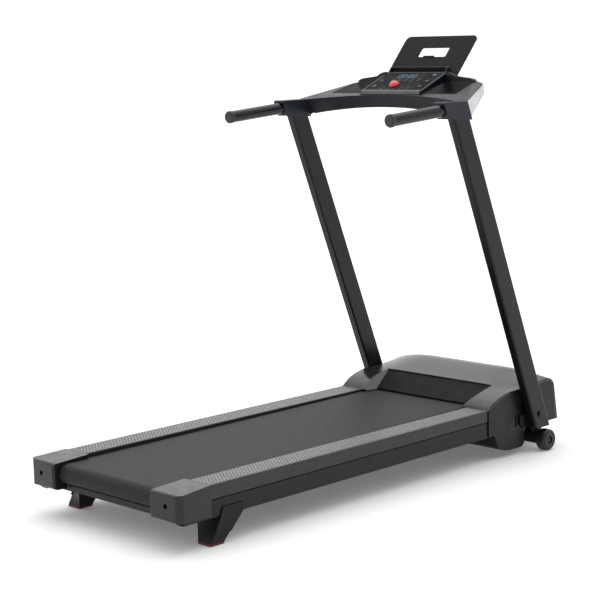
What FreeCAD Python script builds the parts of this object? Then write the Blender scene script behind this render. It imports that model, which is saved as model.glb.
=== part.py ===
"""Folding home treadmill, built as an assembly of separate solids.

Units are millimetres.  +Z is up, +Y points from the rear roller to the motor, +X is the
right-hand side of somebody running.  Z = 0 is the floor.  Lengths along the machine are
given as a station: the distance forward from the rear face of the end caps.
"""
import os
import math
import FreeCAD
import Part

Vec = FreeCAD.Vector

# ---------------------------------------------------------------- overall
machine_length = 1640.0
half_length = machine_length / 2.0
running_gap = 0.05            # radial clearance of a shaft in its bore
body_gap = 0.4                # clearance between pieces that move past each other
seat_gap = 0.2                # clearance between pieces that are screwed together

# ---------------------------------------------------------------- frame
rail_inner_x = 278.0
rail_outer_x = 308.0
rail_bottom_z = 76.0
rail_top_z = 126.0
rail_wall = 2.0
rail_start = 30.0
rail_end = 1560.0
cross_depth = 25.0
cross_height = 17.0
rear_cross_station = 50.0
rear_cross_bottom_z = 78.0
middle_cross_stations = (430.0, 860.0)
middle_cross_bottom_z = 78.0
front_cross_station = 1386.0
front_cross_bottom_z = 77.0
front_cross_height = 15.0
front_cross_depth = 22.0

# ---------------------------------------------------------------- deck and belt
roller_axis_z = 130.0
roller_radius = 25.5
roller_half_length = 205.0
rear_roller_station = 45.0
front_roller_station = 1345.0
roller_shaft_radius = 8.5
roller_shaft_half = 274.5
belt_half_width = 203.0
belt_thickness = 1.7
belt_roller_gap = 0.3
deck_half_width = 300.0
deck_thickness = 18.0
deck_top_z = 155.5
deck_start = 92.0
deck_end = 1296.0
cushion_stations = (160.0, 520.0, 880.0, 1230.0)
cushion_length = 45.0
cushion_width = 22.0

# ---------------------------------------------------------------- foot rails and caps
cap_length = 124.0
foot_rail_end = 1265.6
foot_rail_inner_x = 222.0
foot_rail_outer_x = 308.6
foot_rail_rear_top_z = 167.0
foot_rail_front_top_z = 162.5
foot_rail_skirt_z = 128.0
foot_rail_wall = 2.6
cap_inner_x = 207.0
cap_outer_x = 321.5
cap_front_outer_x = 311.6
cap_wall = 3.0
cap_corner = 14.0
cap_inner_corner = 8.0
cap_floor_end = 26.0
cap_rear_top_z = 162.0
cap_front_top_z = 168.5
cap_rear_bottom_z = 90.0
cap_front_bottom_z = 82.0
adjuster_x = 268.2
adjuster_z = 129.0
adjuster_radius = 4.0

# ---------------------------------------------------------------- rear feet
foot_inner_x = 256.0
foot_outer_x = 307.6
foot_plate_x = 311.6
foot_wall = 4.0
foot_heel_station = 121.0
foot_toe_station = 168.0
foot_front_top_station = 236.0
foot_rear_top_station = 160.0
pad_height = 6.5

# ---------------------------------------------------------------- base tube and wheels
base_tube_station = 1484.0
base_tube_depth = 38.0
base_tube_bottom_z = 21.0
base_tube_top_z = 56.0
base_tube_half = 327.5
base_tube_wall = 2.5
wheel_radius = 34.0
wheel_station = 1506.0
wheel_inner_x = 328.3
wheel_outer_x = 363.0
wheel_bolt_radius = 5.0
wheel_seat_radius = 12.5
wheel_seat_x = 356.0
wheel_head_height = 5.0

# ---------------------------------------------------------------- uprights
upright_inner_x = 320.0
upright_outer_x = 350.0
upright_depth = 70.0          # front to back, measured level
upright_slope = 0.3815        # how far it leans back for each unit of height
upright_reference_station = 1139.0
upright_reference_z = 1000.0
upright_bottom_z = 78.0
upright_top_z = 1108.0
upright_wall = 2.0
pivot_z = 122.0
pivot_bolt_radius = 5.0
bracket_inner_x = 313.0
bracket_outer_x = 319.5

# ---------------------------------------------------------------- sleeves and handles
sleeve_inner_x = 310.5
sleeve_outer_x = 355.5
sleeve_rear_reach = 68.0
sleeve_front_reach = 39.0
sleeve_top_z = 1117.0
sleeve_wall = 3.6
handle_x = 333.0
handle_radius = 18.0
handle_wall = 2.0
handle_rear_station = 826.0
handle_rear_z = 1076.0
handle_root_z = 1094.0
handle_cap_radius = 19.0
handle_cap_length = 12.0

# ---------------------------------------------------------------- hood
hood_half = 312.0
hood_wall = 2.6
hood_start = 1266.0
hood_end = 1640.0
hood_base_z = 79.0
hood_tip_z = 162.0
hood_wall_station = 1600.0
hood_wall_top_z = 190.0
hood_side_end = 1615.0
crown_half = 150.0
crown_power = 2.2
crown_steps = 6
# each row: station, height in the middle, height at the side, and how much of a wall
# thickness the inner face moves back and down
crown_ridge = ((1360.0, 203.5, 203.5, 0.0, 1.0), (1395.0, 212.0, 206.0, 0.0, 1.0),
               (1450.0, 228.0, 206.8, 0.0, 1.0), (1500.0, 241.0, 210.0, 0.0, 1.0))
crown_nose = ((1500.0, 241.0, 210.0, 0.0, 1.0), (1535.0, 242.0, 215.5, 0.0, 1.0),
              (1566.0, 231.0, 217.5, 0.4, 1.0), (1588.0, 211.0, 209.0, 0.8, 0.7),
              (hood_wall_station, hood_wall_top_z, hood_wall_top_z, 1.0, 0.2))
visor_half = 219.0
visor_top_station = 1395.0
visor_top_z = 208.0
visor_foot_half = 190.0
visor_foot_station = 1306.0
visor_foot_z = 160.4
visor_thickness = 3.0
visor_tuck = 11.0

# ---------------------------------------------------------------- drive
motor_station = 1490.0
motor_z = 150.0
motor_radius = 46.0
motor_left_x = -196.0
motor_right_x = -30.0
motor_shaft_radius = 7.5
pulley_left_x = -262.0
pulley_right_x = -242.0
roller_pulley_radius = 42.0
motor_pulley_radius = 17.5
drive_belt_thickness = 3.0
flywheel_radius = 58.0
flywheel_left_x = -236.0
flywheel_right_x = -214.0

# ---------------------------------------------------------------- console
console_rear_mid_station = 1178.0
console_rear_sag = 45.0
console_lower_mid_station = 1169.0
console_lower_sag = 20.0
console_lower_mid_z = 1092.6
console_arch = 24.9
console_reference_half = 312.0
console_top_slope = 0.30
console_top_station = 1133.0
console_top_z = 1116.0
console_front_station = 1318.0
console_front_low_station = 1330.0
console_front_low_z = 1133.0
console_front_arch = 14.0
console_wall = 3.0
trim_rear_x = 354.0
trim_rear_station = 1133.0
trim_front_x = 259.0
trim_front_station = 1324.0
trim_thickness = 3.0

panel_start_station = 1188.0
panel_start_z = 1141.5
panel_slope_deg = 22.8
panel_length = 143.0
pod_half = 125.0
pod_wall = 3.0
overlay_half = 118.0
overlay_thickness = 1.0
hinge_station = 1331.0
hinge_z = 1205.5
hinge_pin_radius = 2.5
hinge_barrel_radius = 6.0
holder_tilt_deg = 48.6
holder_half = 146.0
holder_thickness = 4.5
holder_offset = 15.0
holder_below = 17.0
holder_above = 144.0
key_travel = 1.0
key_gap = 0.4

# smaller sizes of single pieces
panel_angle = math.radians(panel_slope_deg)
seam_drop = 7.0
cover_front_top = 1592.0
cover_front_low = 1609.0
wall_run = hood_end - hood_wall_station
wall_fall = hood_wall_top_z - hood_base_z
inlet_x = 120.0
inlet_low = 20.0
inlet_high = 66.0
inlet_half = 17.0
rocker_pivot_rise = 34.5
rocker_pivot_depth = 6.5
rocker_pivot_radius = 1.6
rocker_half = 10.4
tab_inner_x = 322.0
tab_outer_x = 333.0
tab_bottom_z = 1090.0
tab_top_z = 1105.0
crossbar_station = 1182.5
crossbar_size = 12.0
crossbar_bottom_z = 1107.0
tray_depth = 26.0
brow_start = 1302.0
key_depth = 2.4
key_proud = 0.8
key_post_radius = 7.0
safety_x = -19.0
safety_y = 44.0


# ================================================================ helpers
def at(station):
    """Y coordinate of a station measured from the rear face."""
    return station - half_length


def box(x0, x1, s0, s1, z0, z1):
    """Box between two x values, two stations and two heights."""
    return Part.makeBox(x1 - x0, s1 - s0, z1 - z0, Vec(x0, at(s0), z0))


def rod_x(radius, x0, x1, station, z):
    """Cylinder along X."""
    return Part.makeCylinder(radius, x1 - x0, Vec(x0, at(station), z), Vec(1, 0, 0))


def rod_y(radius, x, s0, s1, z):
    """Cylinder along Y."""
    return Part.makeCylinder(radius, s1 - s0, Vec(x, at(s0), z), Vec(0, 1, 0))


def side_prism(points, x0, x1):
    """Extrude a closed outline of (station, height) points from x0 to x1."""
    corners = [Vec(x0, at(s), z) for s, z in points]
    corners.append(corners[0])
    face = Part.Face(Part.makePolygon(corners))
    return face.extrude(Vec(x1 - x0, 0, 0))


def plan_prism(points, z0, z1):
    """Extrude a closed outline of (x, station) points from z0 to z1."""
    corners = [Vec(x, at(s), z0) for x, s in points]
    corners.append(corners[0])
    face = Part.Face(Part.makePolygon(corners))
    return face.extrude(Vec(0, 0, z1 - z0))


def front_prism(points, s0, s1):
    """Extrude a closed outline of (x, height) points from station s0 to s1."""
    corners = [Vec(x, at(s0), z) for x, z in points]
    corners.append(corners[0])
    face = Part.Face(Part.makePolygon(corners))
    return face.extrude(Vec(0, s1 - s0, 0))


def mirrored(shape):
    """The left-hand twin of a right-hand piece."""
    return shape.mirror(Vec(0, 0, 0), Vec(1, 0, 0))


def group(shapes):
    """Several separate solids under one name."""
    return Part.makeCompound(shapes)


def round_edges(shape, radius, wanted):
    """Fillet the edges that wanted() picks; wanted gets an edge."""
    edges = [edge for edge in shape.Edges if wanted(edge)]
    return shape.makeFillet(radius, edges)


def edge_runs(edge, axis):
    """True when a straight edge runs along the given axis index."""
    if not isinstance(edge.Curve, (Part.Line, Part.LineSegment)):
        return False
    direction = edge.tangentAt(edge.FirstParameter)
    return abs(direction[axis]) > 0.999


def upright_station(z):
    """Station of the upright's centre line at a height."""
    return upright_reference_station - upright_slope * (z - upright_reference_z)


def save(shape, node):
    """Write one node as a STEP file."""
    shape.exportStep("parts/" + node + ".step")


def console_plane_z(station):
    """Height of the console's sloping top face."""
    return console_top_z + console_top_slope * (station - console_top_station)


def on_panel(shape):
    """Move a shape drawn flat (x, distance up the panel, height off it) onto the panel."""
    turn = FreeCAD.Rotation(Vec(1, 0, 0), panel_slope_deg)
    origin = Vec(0, at(panel_start_station), panel_start_z)
    copy = shape.copy()
    copy.Placement = FreeCAD.Placement(origin, turn).multiply(copy.Placement)
    return copy


def flat_box(x0, x1, y0, y1, z0, z1):
    """Box in plain coordinates, used for pieces drawn flat first."""
    return Part.makeBox(x1 - x0, y1 - y0, z1 - z0, Vec(x0, y0, z0))


def rounded_plate(x0, x1, y0, y1, z0, z1, radius):
    """Flat plate with its four upright edges rounded."""
    plate = flat_box(x0, x1, y0, y1, z0, z1)
    return round_edges(plate, radius, lambda edge: edge_runs(edge, 2))


# ================================================================ frame
def make_frame_rail():
    """Rectangular steel side tube, closed by a plug at each end."""
    outer = box(rail_inner_x, rail_outer_x, rail_start, rail_end, rail_bottom_z, rail_top_z)
    outer = round_edges(outer, 3.0, lambda edge: edge_runs(edge, 1))
    inner = box(rail_inner_x + rail_wall, rail_outer_x - rail_wall, rail_start - 1.0,
                rail_end + 1.0, rail_bottom_z + rail_wall, rail_top_z - rail_wall)
    return outer.cut(inner)


def make_cross_tube(station, bottom_z, height, depth):
    """Cross tube welded between the two side tubes."""
    outer = box(-rail_inner_x, rail_inner_x, station, station + depth, bottom_z,
                bottom_z + height)
    inner = box(-rail_inner_x - 1.0, rail_inner_x + 1.0, station + rail_wall,
                station + depth - rail_wall, bottom_z + rail_wall,
                bottom_z + height - rail_wall)
    return outer.cut(inner)


def make_roller_bracket():
    """Slotted block on the side tube that carries one end of the rear roller shaft."""
    block = box(261.0, rail_inner_x, 24.0, 74.0, 98.0, 148.0)
    block = round_edges(block, 3.0, lambda edge: edge_runs(edge, 0))
    slot = box(260.0, rail_inner_x + 1.0, 31.0, 67.0, roller_axis_z - roller_shaft_radius - 0.1,
               roller_axis_z + roller_shaft_radius + 0.1)
    bolt_way = rod_y(adjuster_radius + 0.3, adjuster_x, 20.0, 80.0, adjuster_z)
    return block.cut(slot).cut(bolt_way)


def make_front_roller_seat():
    """Saddle on the side tube that carries one end of the front roller shaft."""
    seat = box(266.0, rail_inner_x, front_roller_station - 22.0, front_roller_station + 22.0,
               rail_bottom_z + 8.0, roller_axis_z + 4.0)
    hollow = rod_x(roller_shaft_radius, 265.0, rail_inner_x + 1.0, front_roller_station,
                   roller_axis_z)
    mouth = box(265.0, rail_inner_x + 1.0, front_roller_station - roller_shaft_radius,
                front_roller_station + roller_shaft_radius, roller_axis_z, 150.0)
    return seat.cut(hollow).cut(mouth)


def make_base_cross_tube():
    """Low front tube with solid ends that take the axle bolts."""
    s0 = base_tube_station
    s1 = s0 + base_tube_depth
    outer = box(-base_tube_half, base_tube_half, s0, s1, base_tube_bottom_z, base_tube_top_z)
    outer = round_edges(outer, 4.0, lambda edge: edge_runs(edge, 0))
    inner = box(-base_tube_half + 12.0, base_tube_half - 12.0, s0 + base_tube_wall,
                s1 - base_tube_wall, base_tube_bottom_z + base_tube_wall,
                base_tube_top_z - base_tube_wall)
    tube = outer.cut(inner)
    for side in (-1.0, 1.0):
        hole = rod_x(wheel_bolt_radius, min(side * 300.0, side * 330.0),
                     max(side * 300.0, side * 330.0), wheel_station, wheel_radius)
        tube = tube.cut(hole)
    return tube


def make_front_post():
    """Short post that stands the side tube on the base tube."""
    return box(rail_inner_x + 1.0, rail_outer_x - 1.0, base_tube_station + 2.0,
               base_tube_station + base_tube_depth - 2.0, base_tube_top_z, rail_bottom_z)


def make_upright_bracket():
    """Steel plate standing on the base tube; the upright pivots on it."""
    pivot = upright_station(pivot_z)
    outline = [(1413.0, 125.0), (1413.0, 96.0), (1428.0, 82.0), (1468.0, 80.0),
               (1485.0, base_tube_top_z), (1520.0, base_tube_top_z), (1520.0, 128.0),
               (1496.0, 150.0), (1456.0, 150.0), (1440.0, 125.0)]
    plate = side_prism(outline, bracket_inner_x, bracket_outer_x)
    plate = round_edges(plate, 3.0, lambda edge: edge_runs(edge, 0)
                        and edge.Vertexes[0].Point.z > base_tube_top_z + 10.0)
    hole = rod_x(pivot_bolt_radius + running_gap, bracket_inner_x - 1.0,
                 bracket_outer_x + 1.0, pivot, pivot_z)
    return plate.cut(hole)


def make_pivot_bolt():
    """Shoulder bolt with a low round head and a hexagon socket."""
    pivot = upright_station(pivot_z)
    shank = rod_x(pivot_bolt_radius, bracket_inner_x, upright_outer_x + 0.4, pivot, pivot_z)
    head = rod_x(9.5, upright_outer_x + 0.4, upright_outer_x + 5.4, pivot, pivot_z)
    head = round_edges(head, 1.8, lambda edge: edge.Vertexes[0].Point.x
                       > upright_outer_x + 5.0)
    socket = hex_socket_x(6.0, upright_outer_x + 2.6, upright_outer_x + 6.0, pivot, pivot_z)
    return shank.fuse(head).removeSplitter().cut(socket)


def hex_socket_x(across_flats, x0, x1, station, z):
    """Hexagonal prism along X for a socket in a bolt head."""
    reach = across_flats / math.sqrt(3.0)
    corners = []
    for index in range(7):
        angle = math.radians(60.0 * index)
        corners.append(Vec(x0, at(station) + reach * math.cos(angle),
                           z + reach * math.sin(angle)))
    return Part.Face(Part.makePolygon(corners)).extrude(Vec(x1 - x0, 0, 0))


# ================================================================ wheels
def make_transport_wheel():
    """Moulded wheel with a rounded tread and a sunk seat for the bolt head."""
    wheel = rod_x(wheel_radius, wheel_inner_x, wheel_outer_x, wheel_station, wheel_radius)
    wheel = wheel.makeFillet(9.0, [edge for edge in wheel.Edges
                                   if isinstance(edge.Curve, Part.Circle)])
    seat = rod_x(wheel_seat_radius, wheel_seat_x, wheel_outer_x + 1.0, wheel_station,
                 wheel_radius)
    ring = rod_x(wheel_radius - 8.0, wheel_outer_x - 1.2, wheel_outer_x + 1.0, wheel_station,
                 wheel_radius)
    core = rod_x(wheel_radius - 10.0, wheel_outer_x - 2.0, wheel_outer_x + 2.0, wheel_station,
                 wheel_radius)
    wheel = wheel.cut(seat).cut(ring.cut(core))
    bore = rod_x(wheel_bolt_radius + running_gap, wheel_inner_x - 1.0, wheel_outer_x + 1.0,
                 wheel_station, wheel_radius)
    return wheel.cut(bore)


def make_wheel_bolt():
    """Axle bolt screwed into the end of the base tube."""
    face_x = wheel_seat_x + wheel_head_height
    shank = rod_x(wheel_bolt_radius, 304.0, wheel_seat_x + body_gap, wheel_station,
                  wheel_radius)
    head = rod_x(8.5, wheel_seat_x + body_gap, face_x, wheel_station, wheel_radius)
    head = round_edges(head, 1.5, lambda edge: edge.Vertexes[0].Point.x > face_x - 1.0)
    socket = hex_socket_x(5.0, face_x - 3.0, face_x + 1.0, wheel_station, wheel_radius)
    return shank.fuse(head).removeSplitter().cut(socket)


# ================================================================ deck
def make_deck_board():
    """Laminated running board with countersunk screw holes along both edges."""
    board = box(-deck_half_width, deck_half_width, deck_start, deck_end,
                deck_top_z - deck_thickness, deck_top_z)
    board = round_edges(board, 3.0, lambda edge: edge_runs(edge, 0)
                        and edge.Vertexes[0].Point.z > deck_top_z - 1.0)
    for station in cushion_stations:
        for side in (-1.0, 1.0):
            x = side * (rail_inner_x + rail_outer_x) / 2.0
            hole = Part.makeCylinder(3.2, deck_thickness + 2.0,
                                     Vec(x, at(station), deck_top_z - deck_thickness - 1.0))
            board = board.cut(hole)
    return board


def make_deck_cushions():
    """Rubber blocks between the side tubes and the board."""
    blocks = []
    for station in cushion_stations:
        for side in (-1.0, 1.0):
            x = side * (rail_inner_x + rail_outer_x) / 2.0
            block = box(x - cushion_width / 2.0, x + cushion_width / 2.0,
                        station - cushion_length / 2.0, station + cushion_length / 2.0,
                        rail_top_z, deck_top_z - deck_thickness)
            blocks.append(round_edges(block, 3.0, lambda edge: edge_runs(edge, 2)))
    return group(blocks)


def loop(radius, s0, s1, half_width):
    """Stadium-shaped prism round two equal rollers."""
    body = box(-half_width, half_width, s0, s1, roller_axis_z - radius,
               roller_axis_z + radius)
    rear = rod_x(radius, -half_width, half_width, s0, roller_axis_z)
    front = rod_x(radius, -half_width, half_width, s1, roller_axis_z)
    return body.fuse(rear).fuse(front).removeSplitter()


def make_walking_belt():
    """Endless running belt round both rollers."""
    inner_radius = roller_radius + belt_roller_gap
    outer = loop(inner_radius + belt_thickness, rear_roller_station, front_roller_station,
                 belt_half_width)
    inner = loop(inner_radius, rear_roller_station, front_roller_station,
                 belt_half_width + 1.0)
    return outer.cut(inner)


def make_roller(station):
    """Steel roller tube with closed ends, bored for its shaft."""
    tube = rod_x(roller_radius, -roller_half_length, roller_half_length, station,
                 roller_axis_z)
    cavity = rod_x(roller_radius - 3.0, -roller_half_length + 12.0,
                   roller_half_length - 12.0, station, roller_axis_z)
    bore = rod_x(roller_shaft_radius + running_gap, -roller_half_length - 1.0,
                 roller_half_length + 1.0, station, roller_axis_z)
    return tube.cut(cavity).cut(bore)


def make_front_roller():
    """Front roller with its drive pulley in one piece."""
    roller = make_roller(front_roller_station)
    hub = rod_x(16.0, pulley_right_x, -roller_half_length, front_roller_station,
                roller_axis_z)
    pulley = rod_x(roller_pulley_radius, pulley_left_x, pulley_right_x,
                   front_roller_station, roller_axis_z)
    bore = rod_x(roller_shaft_radius + running_gap, pulley_left_x - 1.0,
                 -roller_half_length + 1.0, front_roller_station, roller_axis_z)
    dished = pulley.cut(web_recess(roller_pulley_radius - 5.0, 20.0))
    return roller.fuse(hub.cut(bore)).fuse(dished.cut(bore)).removeSplitter()


def web_recess(outer_radius, inner_radius):
    """Ring cut in the pulley's outer face to leave a thin web."""
    ring = rod_x(outer_radius, pulley_left_x - 1.0, pulley_left_x + 7.0,
                 front_roller_station, roller_axis_z)
    core = rod_x(inner_radius, pulley_left_x - 2.0, pulley_left_x + 8.0,
                 front_roller_station, roller_axis_z)
    return ring.cut(core)


def make_rear_roller_shaft():
    """Fixed shaft, drilled across near each end for the adjuster bolts."""
    shaft = rod_x(roller_shaft_radius, -roller_shaft_half, roller_shaft_half,
                  rear_roller_station, roller_axis_z)
    for side in (-1.0, 1.0):
        hole = rod_y(adjuster_radius + 0.1, side * adjuster_x, 30.0, 60.0, adjuster_z)
        shaft = shaft.cut(hole)
    return shaft


def make_front_roller_shaft():
    """Fixed shaft resting in the two saddles."""
    return rod_x(roller_shaft_radius, -rail_inner_x + 0.5, rail_inner_x - 0.5,
                 front_roller_station, roller_axis_z)


def make_adjuster_bolts():
    """Two long bolts that set the rear roller's position."""
    bolts = []
    for side in (-1.0, 1.0):
        x = side * adjuster_x
        shank = rod_y(adjuster_radius, x, 11.0, 72.0, adjuster_z)
        head = rod_y(6.4, x, 5.0, 11.0, adjuster_z)
        socket = Part.makeCylinder(3.0, 3.6, Vec(x, at(4.0), adjuster_z), Vec(0, 1, 0))
        bolts.append(shank.fuse(head).removeSplitter().cut(socket))
    return group(bolts)


# ================================================================ foot rails and caps
def make_foot_rail():
    """Ribbed foot rail: a sloping top plate with an outer skirt and a short inner lip."""
    s0 = cap_length + 0.4
    s1 = foot_rail_end
    drop = foot_rail_rear_top_z - foot_rail_front_top_z
    outline = [(s0, foot_rail_skirt_z), (s1, foot_rail_skirt_z),
               (s1, foot_rail_rear_top_z - drop), (s0, foot_rail_rear_top_z)]
    outer = side_prism(outline, foot_rail_inner_x, foot_rail_outer_x)
    outer = round_edges(outer, 2.5, lambda edge: edge.Vertexes[0].Point.z > 160.0
                        and edge.Vertexes[1].Point.z > 160.0
                        and abs(edge.tangentAt(edge.FirstParameter).y) > 0.9)
    hollow_outline = [(s0 - 1.0, foot_rail_skirt_z - 1.0), (s1 + 1.0, foot_rail_skirt_z - 1.0),
                      (s1 + 1.0, foot_rail_front_top_z - foot_rail_wall),
                      (s0 - 1.0, foot_rail_rear_top_z - foot_rail_wall)]
    hollow = side_prism(hollow_outline, foot_rail_inner_x + foot_rail_wall,
                        foot_rail_outer_x - foot_rail_wall)
    below_lip = box(foot_rail_inner_x - 1.0, foot_rail_inner_x + foot_rail_wall + 1.0,
                    s0 - 1.0, s1 + 1.0, 100.0, deck_top_z + seat_gap)
    return outer.cut(hollow).cut(below_lip)


def make_rear_end_cap():
    """Moulded cap over the end of the side tube and the roller shaft."""
    plan = [(cap_inner_x, 0.0), (cap_inner_x + 100.0, 5.0), (cap_outer_x, 16.0),
            (cap_front_outer_x, cap_length), (cap_inner_x, cap_length)]
    body = plan_prism(plan, 60.0, 190.0)
    body = round_edges(body, cap_corner, lambda edge: edge_runs(edge, 2)
                       and edge.Vertexes[0].Point.y < at(40.0)
                       and edge.Vertexes[0].Point.x > cap_inner_x + 50.0)
    body = round_edges(body, cap_inner_corner, lambda edge: edge_runs(edge, 2)
                       and edge.Vertexes[0].Point.y < at(40.0)
                       and edge.Vertexes[0].Point.x < cap_inner_x + 1.0)
    profile = [(-1.0, cap_rear_bottom_z + 9.0), (0.8, cap_rear_bottom_z + 5.0),
               (3.6, cap_rear_bottom_z + 1.5), (7.6, cap_rear_bottom_z - 1.0),
               (13.0, cap_rear_bottom_z - 2.2),
               (cap_length + 1.0, cap_front_bottom_z),
               (cap_length + 1.0, cap_front_top_z), (12.0, cap_rear_top_z + 1.5),
               (7.0, cap_rear_top_z + 0.4), (3.4, cap_rear_top_z - 1.8),
               (1.2, cap_rear_top_z - 4.6), (-1.0, cap_rear_top_z - 10.0)]
    body = body.common(side_prism(profile, 200.0, 330.0))
    inner_plan = [(cap_inner_x + cap_wall, 12.0 + cap_wall),
                  (cap_outer_x - cap_wall - 1.0, 20.0 + cap_wall),
                  (cap_front_outer_x - cap_wall * 0.6, cap_length + 1.0),
                  (cap_inner_x + cap_wall, cap_length + 1.0)]
    inner_profile = [(0.0, cap_rear_bottom_z + cap_wall),
                     (cap_floor_end, cap_rear_bottom_z + cap_wall), (cap_floor_end, 60.0),
                     (cap_length + 2.0, 60.0),
                     (cap_length + 2.0, cap_front_top_z - cap_wall),
                     (0.0, cap_rear_top_z - cap_wall)]
    cavity = plan_prism(inner_plan, 40.0, 200.0)
    cavity = cavity.common(side_prism(inner_profile, 200.0, 330.0))
    body = body.cut(cavity)
    shaft_slot = box(cap_inner_x - 1.0, cap_inner_x + cap_wall + 1.0, 30.0, cap_length + 1.0,
                     roller_axis_z - 10.5, roller_axis_z + 10.5)
    deck_slot = box(cap_inner_x - 1.0, cap_inner_x + cap_wall + 1.0, deck_start - 2.0,
                    cap_length + 1.0, 40.0, deck_top_z + seat_gap)
    tube_slot = box(cap_inner_x - 1.0, cap_inner_x + cap_wall + 1.0, rear_cross_station - 3.0,
                    rear_cross_station + cross_depth + 3.0, 40.0,
                    rear_cross_bottom_z + cross_height + 1.0)
    body = body.cut(shaft_slot).cut(deck_slot).cut(tube_slot)
    head_well = rod_y(7.2, adjuster_x, -2.0, 11.2, adjuster_z)
    bolt_way = rod_y(adjuster_radius + 0.4, adjuster_x, -2.0, 24.0, adjuster_z)
    rail_way = box(rail_inner_x - seat_gap, rail_outer_x + seat_gap, rail_start - seat_gap,
                   cap_length + 1.0, rail_bottom_z - seat_gap, rail_top_z + seat_gap)
    return body.cut(head_well).cut(bolt_way).cut(rail_way)


def foot_side(x, rear_top_station, trim, floor_z):
    """Side outline of the leg at x; trim moves its front and rear faces inwards."""
    top_z = rail_bottom_z
    corners = [Vec(x, at(foot_heel_station + trim), floor_z),
               Vec(x, at(foot_toe_station - trim), floor_z),
               Vec(x, at(foot_front_top_station - trim), top_z),
               Vec(x, at(rear_top_station + trim), top_z)]
    corners.append(corners[0])
    return Part.makePolygon(corners)


def make_rear_foot():
    """Angled foot: a hollow leg with an upright inner side, and a lapped outer plate."""
    outer = Part.makeLoft([foot_side(foot_inner_x, foot_heel_station, 0.0, pad_height),
                           foot_side(foot_outer_x, foot_rear_top_station, 0.0, pad_height)],
                          True, True)
    core = Part.makeLoft([foot_side(foot_inner_x + foot_wall, foot_heel_station, foot_wall,
                                    pad_height + foot_wall),
                          foot_side(foot_outer_x - foot_wall, foot_rear_top_station,
                                    foot_wall, pad_height + foot_wall)], True, True)
    ear = side_prism([(132.0, 30.0), (190.0, 30.0), (237.0, 78.0), (237.0, 101.0),
                      (165.0, 101.0), (156.0, 78.0)], rail_outer_x + 0.2, foot_plate_x)
    ear = round_edges(ear, 2.0, lambda edge: edge_runs(edge, 0))
    web = side_prism([(138.0, 30.0), (188.0, 30.0), (228.0, 70.0), (164.0, 70.0)],
                     foot_outer_x - 1.0, rail_outer_x + 0.4)
    return outer.cut(core).fuse(ear).fuse(web).removeSplitter()


def make_rear_foot_pads():
    """Rubber pads under the rear feet."""
    pads = []
    for side in (-1.0, 1.0):
        pad = side_prism([(119.0, 1.5), (120.5, 0.0), (165.0, 0.0), (167.0, 1.5),
                          (169.5, pad_height), (121.0, pad_height)],
                         foot_inner_x + 0.5, foot_outer_x - 0.5)
        if side < 0.0:
            pad = mirrored(pad)
        pads.append(pad)
    return group(pads)


# ================================================================ hood
def hood_top_edge(inset, side_share, x):
    """Curved top outline at x, from the wing tip over the crown to the front foot."""
    rear_points = [(hood_start + inset, hood_tip_z),
                   (1272.0 + inset * 0.8, 167.0 - inset * 0.5),
                   (1285.0 + inset * 0.6, 176.5 - inset * 0.8),
                   (1305.0 + inset * 0.4, 188.0 - inset),
                   (1330.0, 196.5 - inset), (1360.0, 203.5 - inset)]
    edges = []
    rear = Part.BSplineCurve()
    rear.interpolate([Vec(x, at(s), z) for s, z in rear_points])
    edges.append(rear.toShape())
    for run in (crown_ridge, crown_nose):
        points = []
        for station, middle_z, side_z, ease_s, ease_z in run:
            z = middle_z + (side_z - middle_z) * side_share
            points.append(Vec(x, at(station - inset * ease_s), z - inset * ease_z))
        curve = Part.BSplineCurve()
        curve.interpolate(points)
        edges.append(curve.toShape())
    return edges


def hood_outline(inset, side_share, x, bottom_z):
    """Closed outline at x: the curved top, the sloping front wall and the base."""
    edges = hood_top_edge(inset, side_share, x)
    foot_reach = hood_end + (hood_side_end - hood_end) * side_share
    first = Vec(x, at(hood_start + inset), hood_tip_z)
    wall_top = Vec(x, at(hood_wall_station - inset), hood_wall_top_z - inset * 0.2)
    slope = (foot_reach - hood_wall_station) / (hood_wall_top_z - hood_base_z)
    foot_station = hood_wall_station - inset + slope * (wall_top.z - bottom_z)
    foot = Vec(x, at(foot_station), bottom_z)
    corner = Vec(x, at(hood_start + inset), bottom_z)
    edges.append(Part.LineSegment(wall_top, foot).toShape())
    edges.append(Part.LineSegment(foot, corner).toShape())
    edges.append(Part.LineSegment(corner, first).toShape())
    return Part.Wire(Part.__sortEdges__(edges))


def side_share_at(x):
    """How far the outline has changed from the crown to the side, at x."""
    reach = max(0.0, abs(x) - crown_half) / (hood_half - crown_half)
    return min(1.0, reach) ** crown_power


def hood_slice(inset, x0, x1, bottom_z, side_share):
    """Prism under one outline from x0 to x1."""
    face = Part.Face(hood_outline(inset, side_share, x0, bottom_z))
    return face.extrude(Vec(x1 - x0, 0, 0))


def hood_body(inset, half, bottom_z):
    """Whole hood form: level across the middle and falling away to both sides."""
    middle = hood_slice(inset, -crown_half, crown_half, bottom_z, 0.0)
    wires = []
    for index in range(crown_steps + 1):
        x = crown_half + (half - crown_half) * index / crown_steps
        wires.append(hood_outline(inset, side_share_at(x), x, bottom_z))
    right = Part.makeLoft(wires, True, False)
    return middle.fuse(right).fuse(mirrored(right))


def half_space(point, normal):
    """Large block on the side of a plane that its normal points to."""
    block = Part.makeBox(1200.0, 1200.0, 1200.0, Vec(-600.0, -600.0, 0.0))
    block.Placement = FreeCAD.Placement(point, FreeCAD.Rotation(Vec(0, 0, 1), normal))
    return block


def cheek_plane(inward):
    """Point and normal of the right cheek's face, moved inwards (towards the middle)."""
    foot = Vec(visor_foot_half, at(visor_foot_station), visor_foot_z)
    head = Vec(visor_half, at(visor_top_station), visor_top_z)
    rim = Vec(visor_half, at(1300.0), 186.0)
    normal = head.sub(foot).cross(rim.sub(foot))
    normal.normalize()
    if normal.x > 0.0:
        normal = normal.multiply(-1.0)
    point = foot.add(Vec(normal).multiply(inward))
    return point, normal


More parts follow.
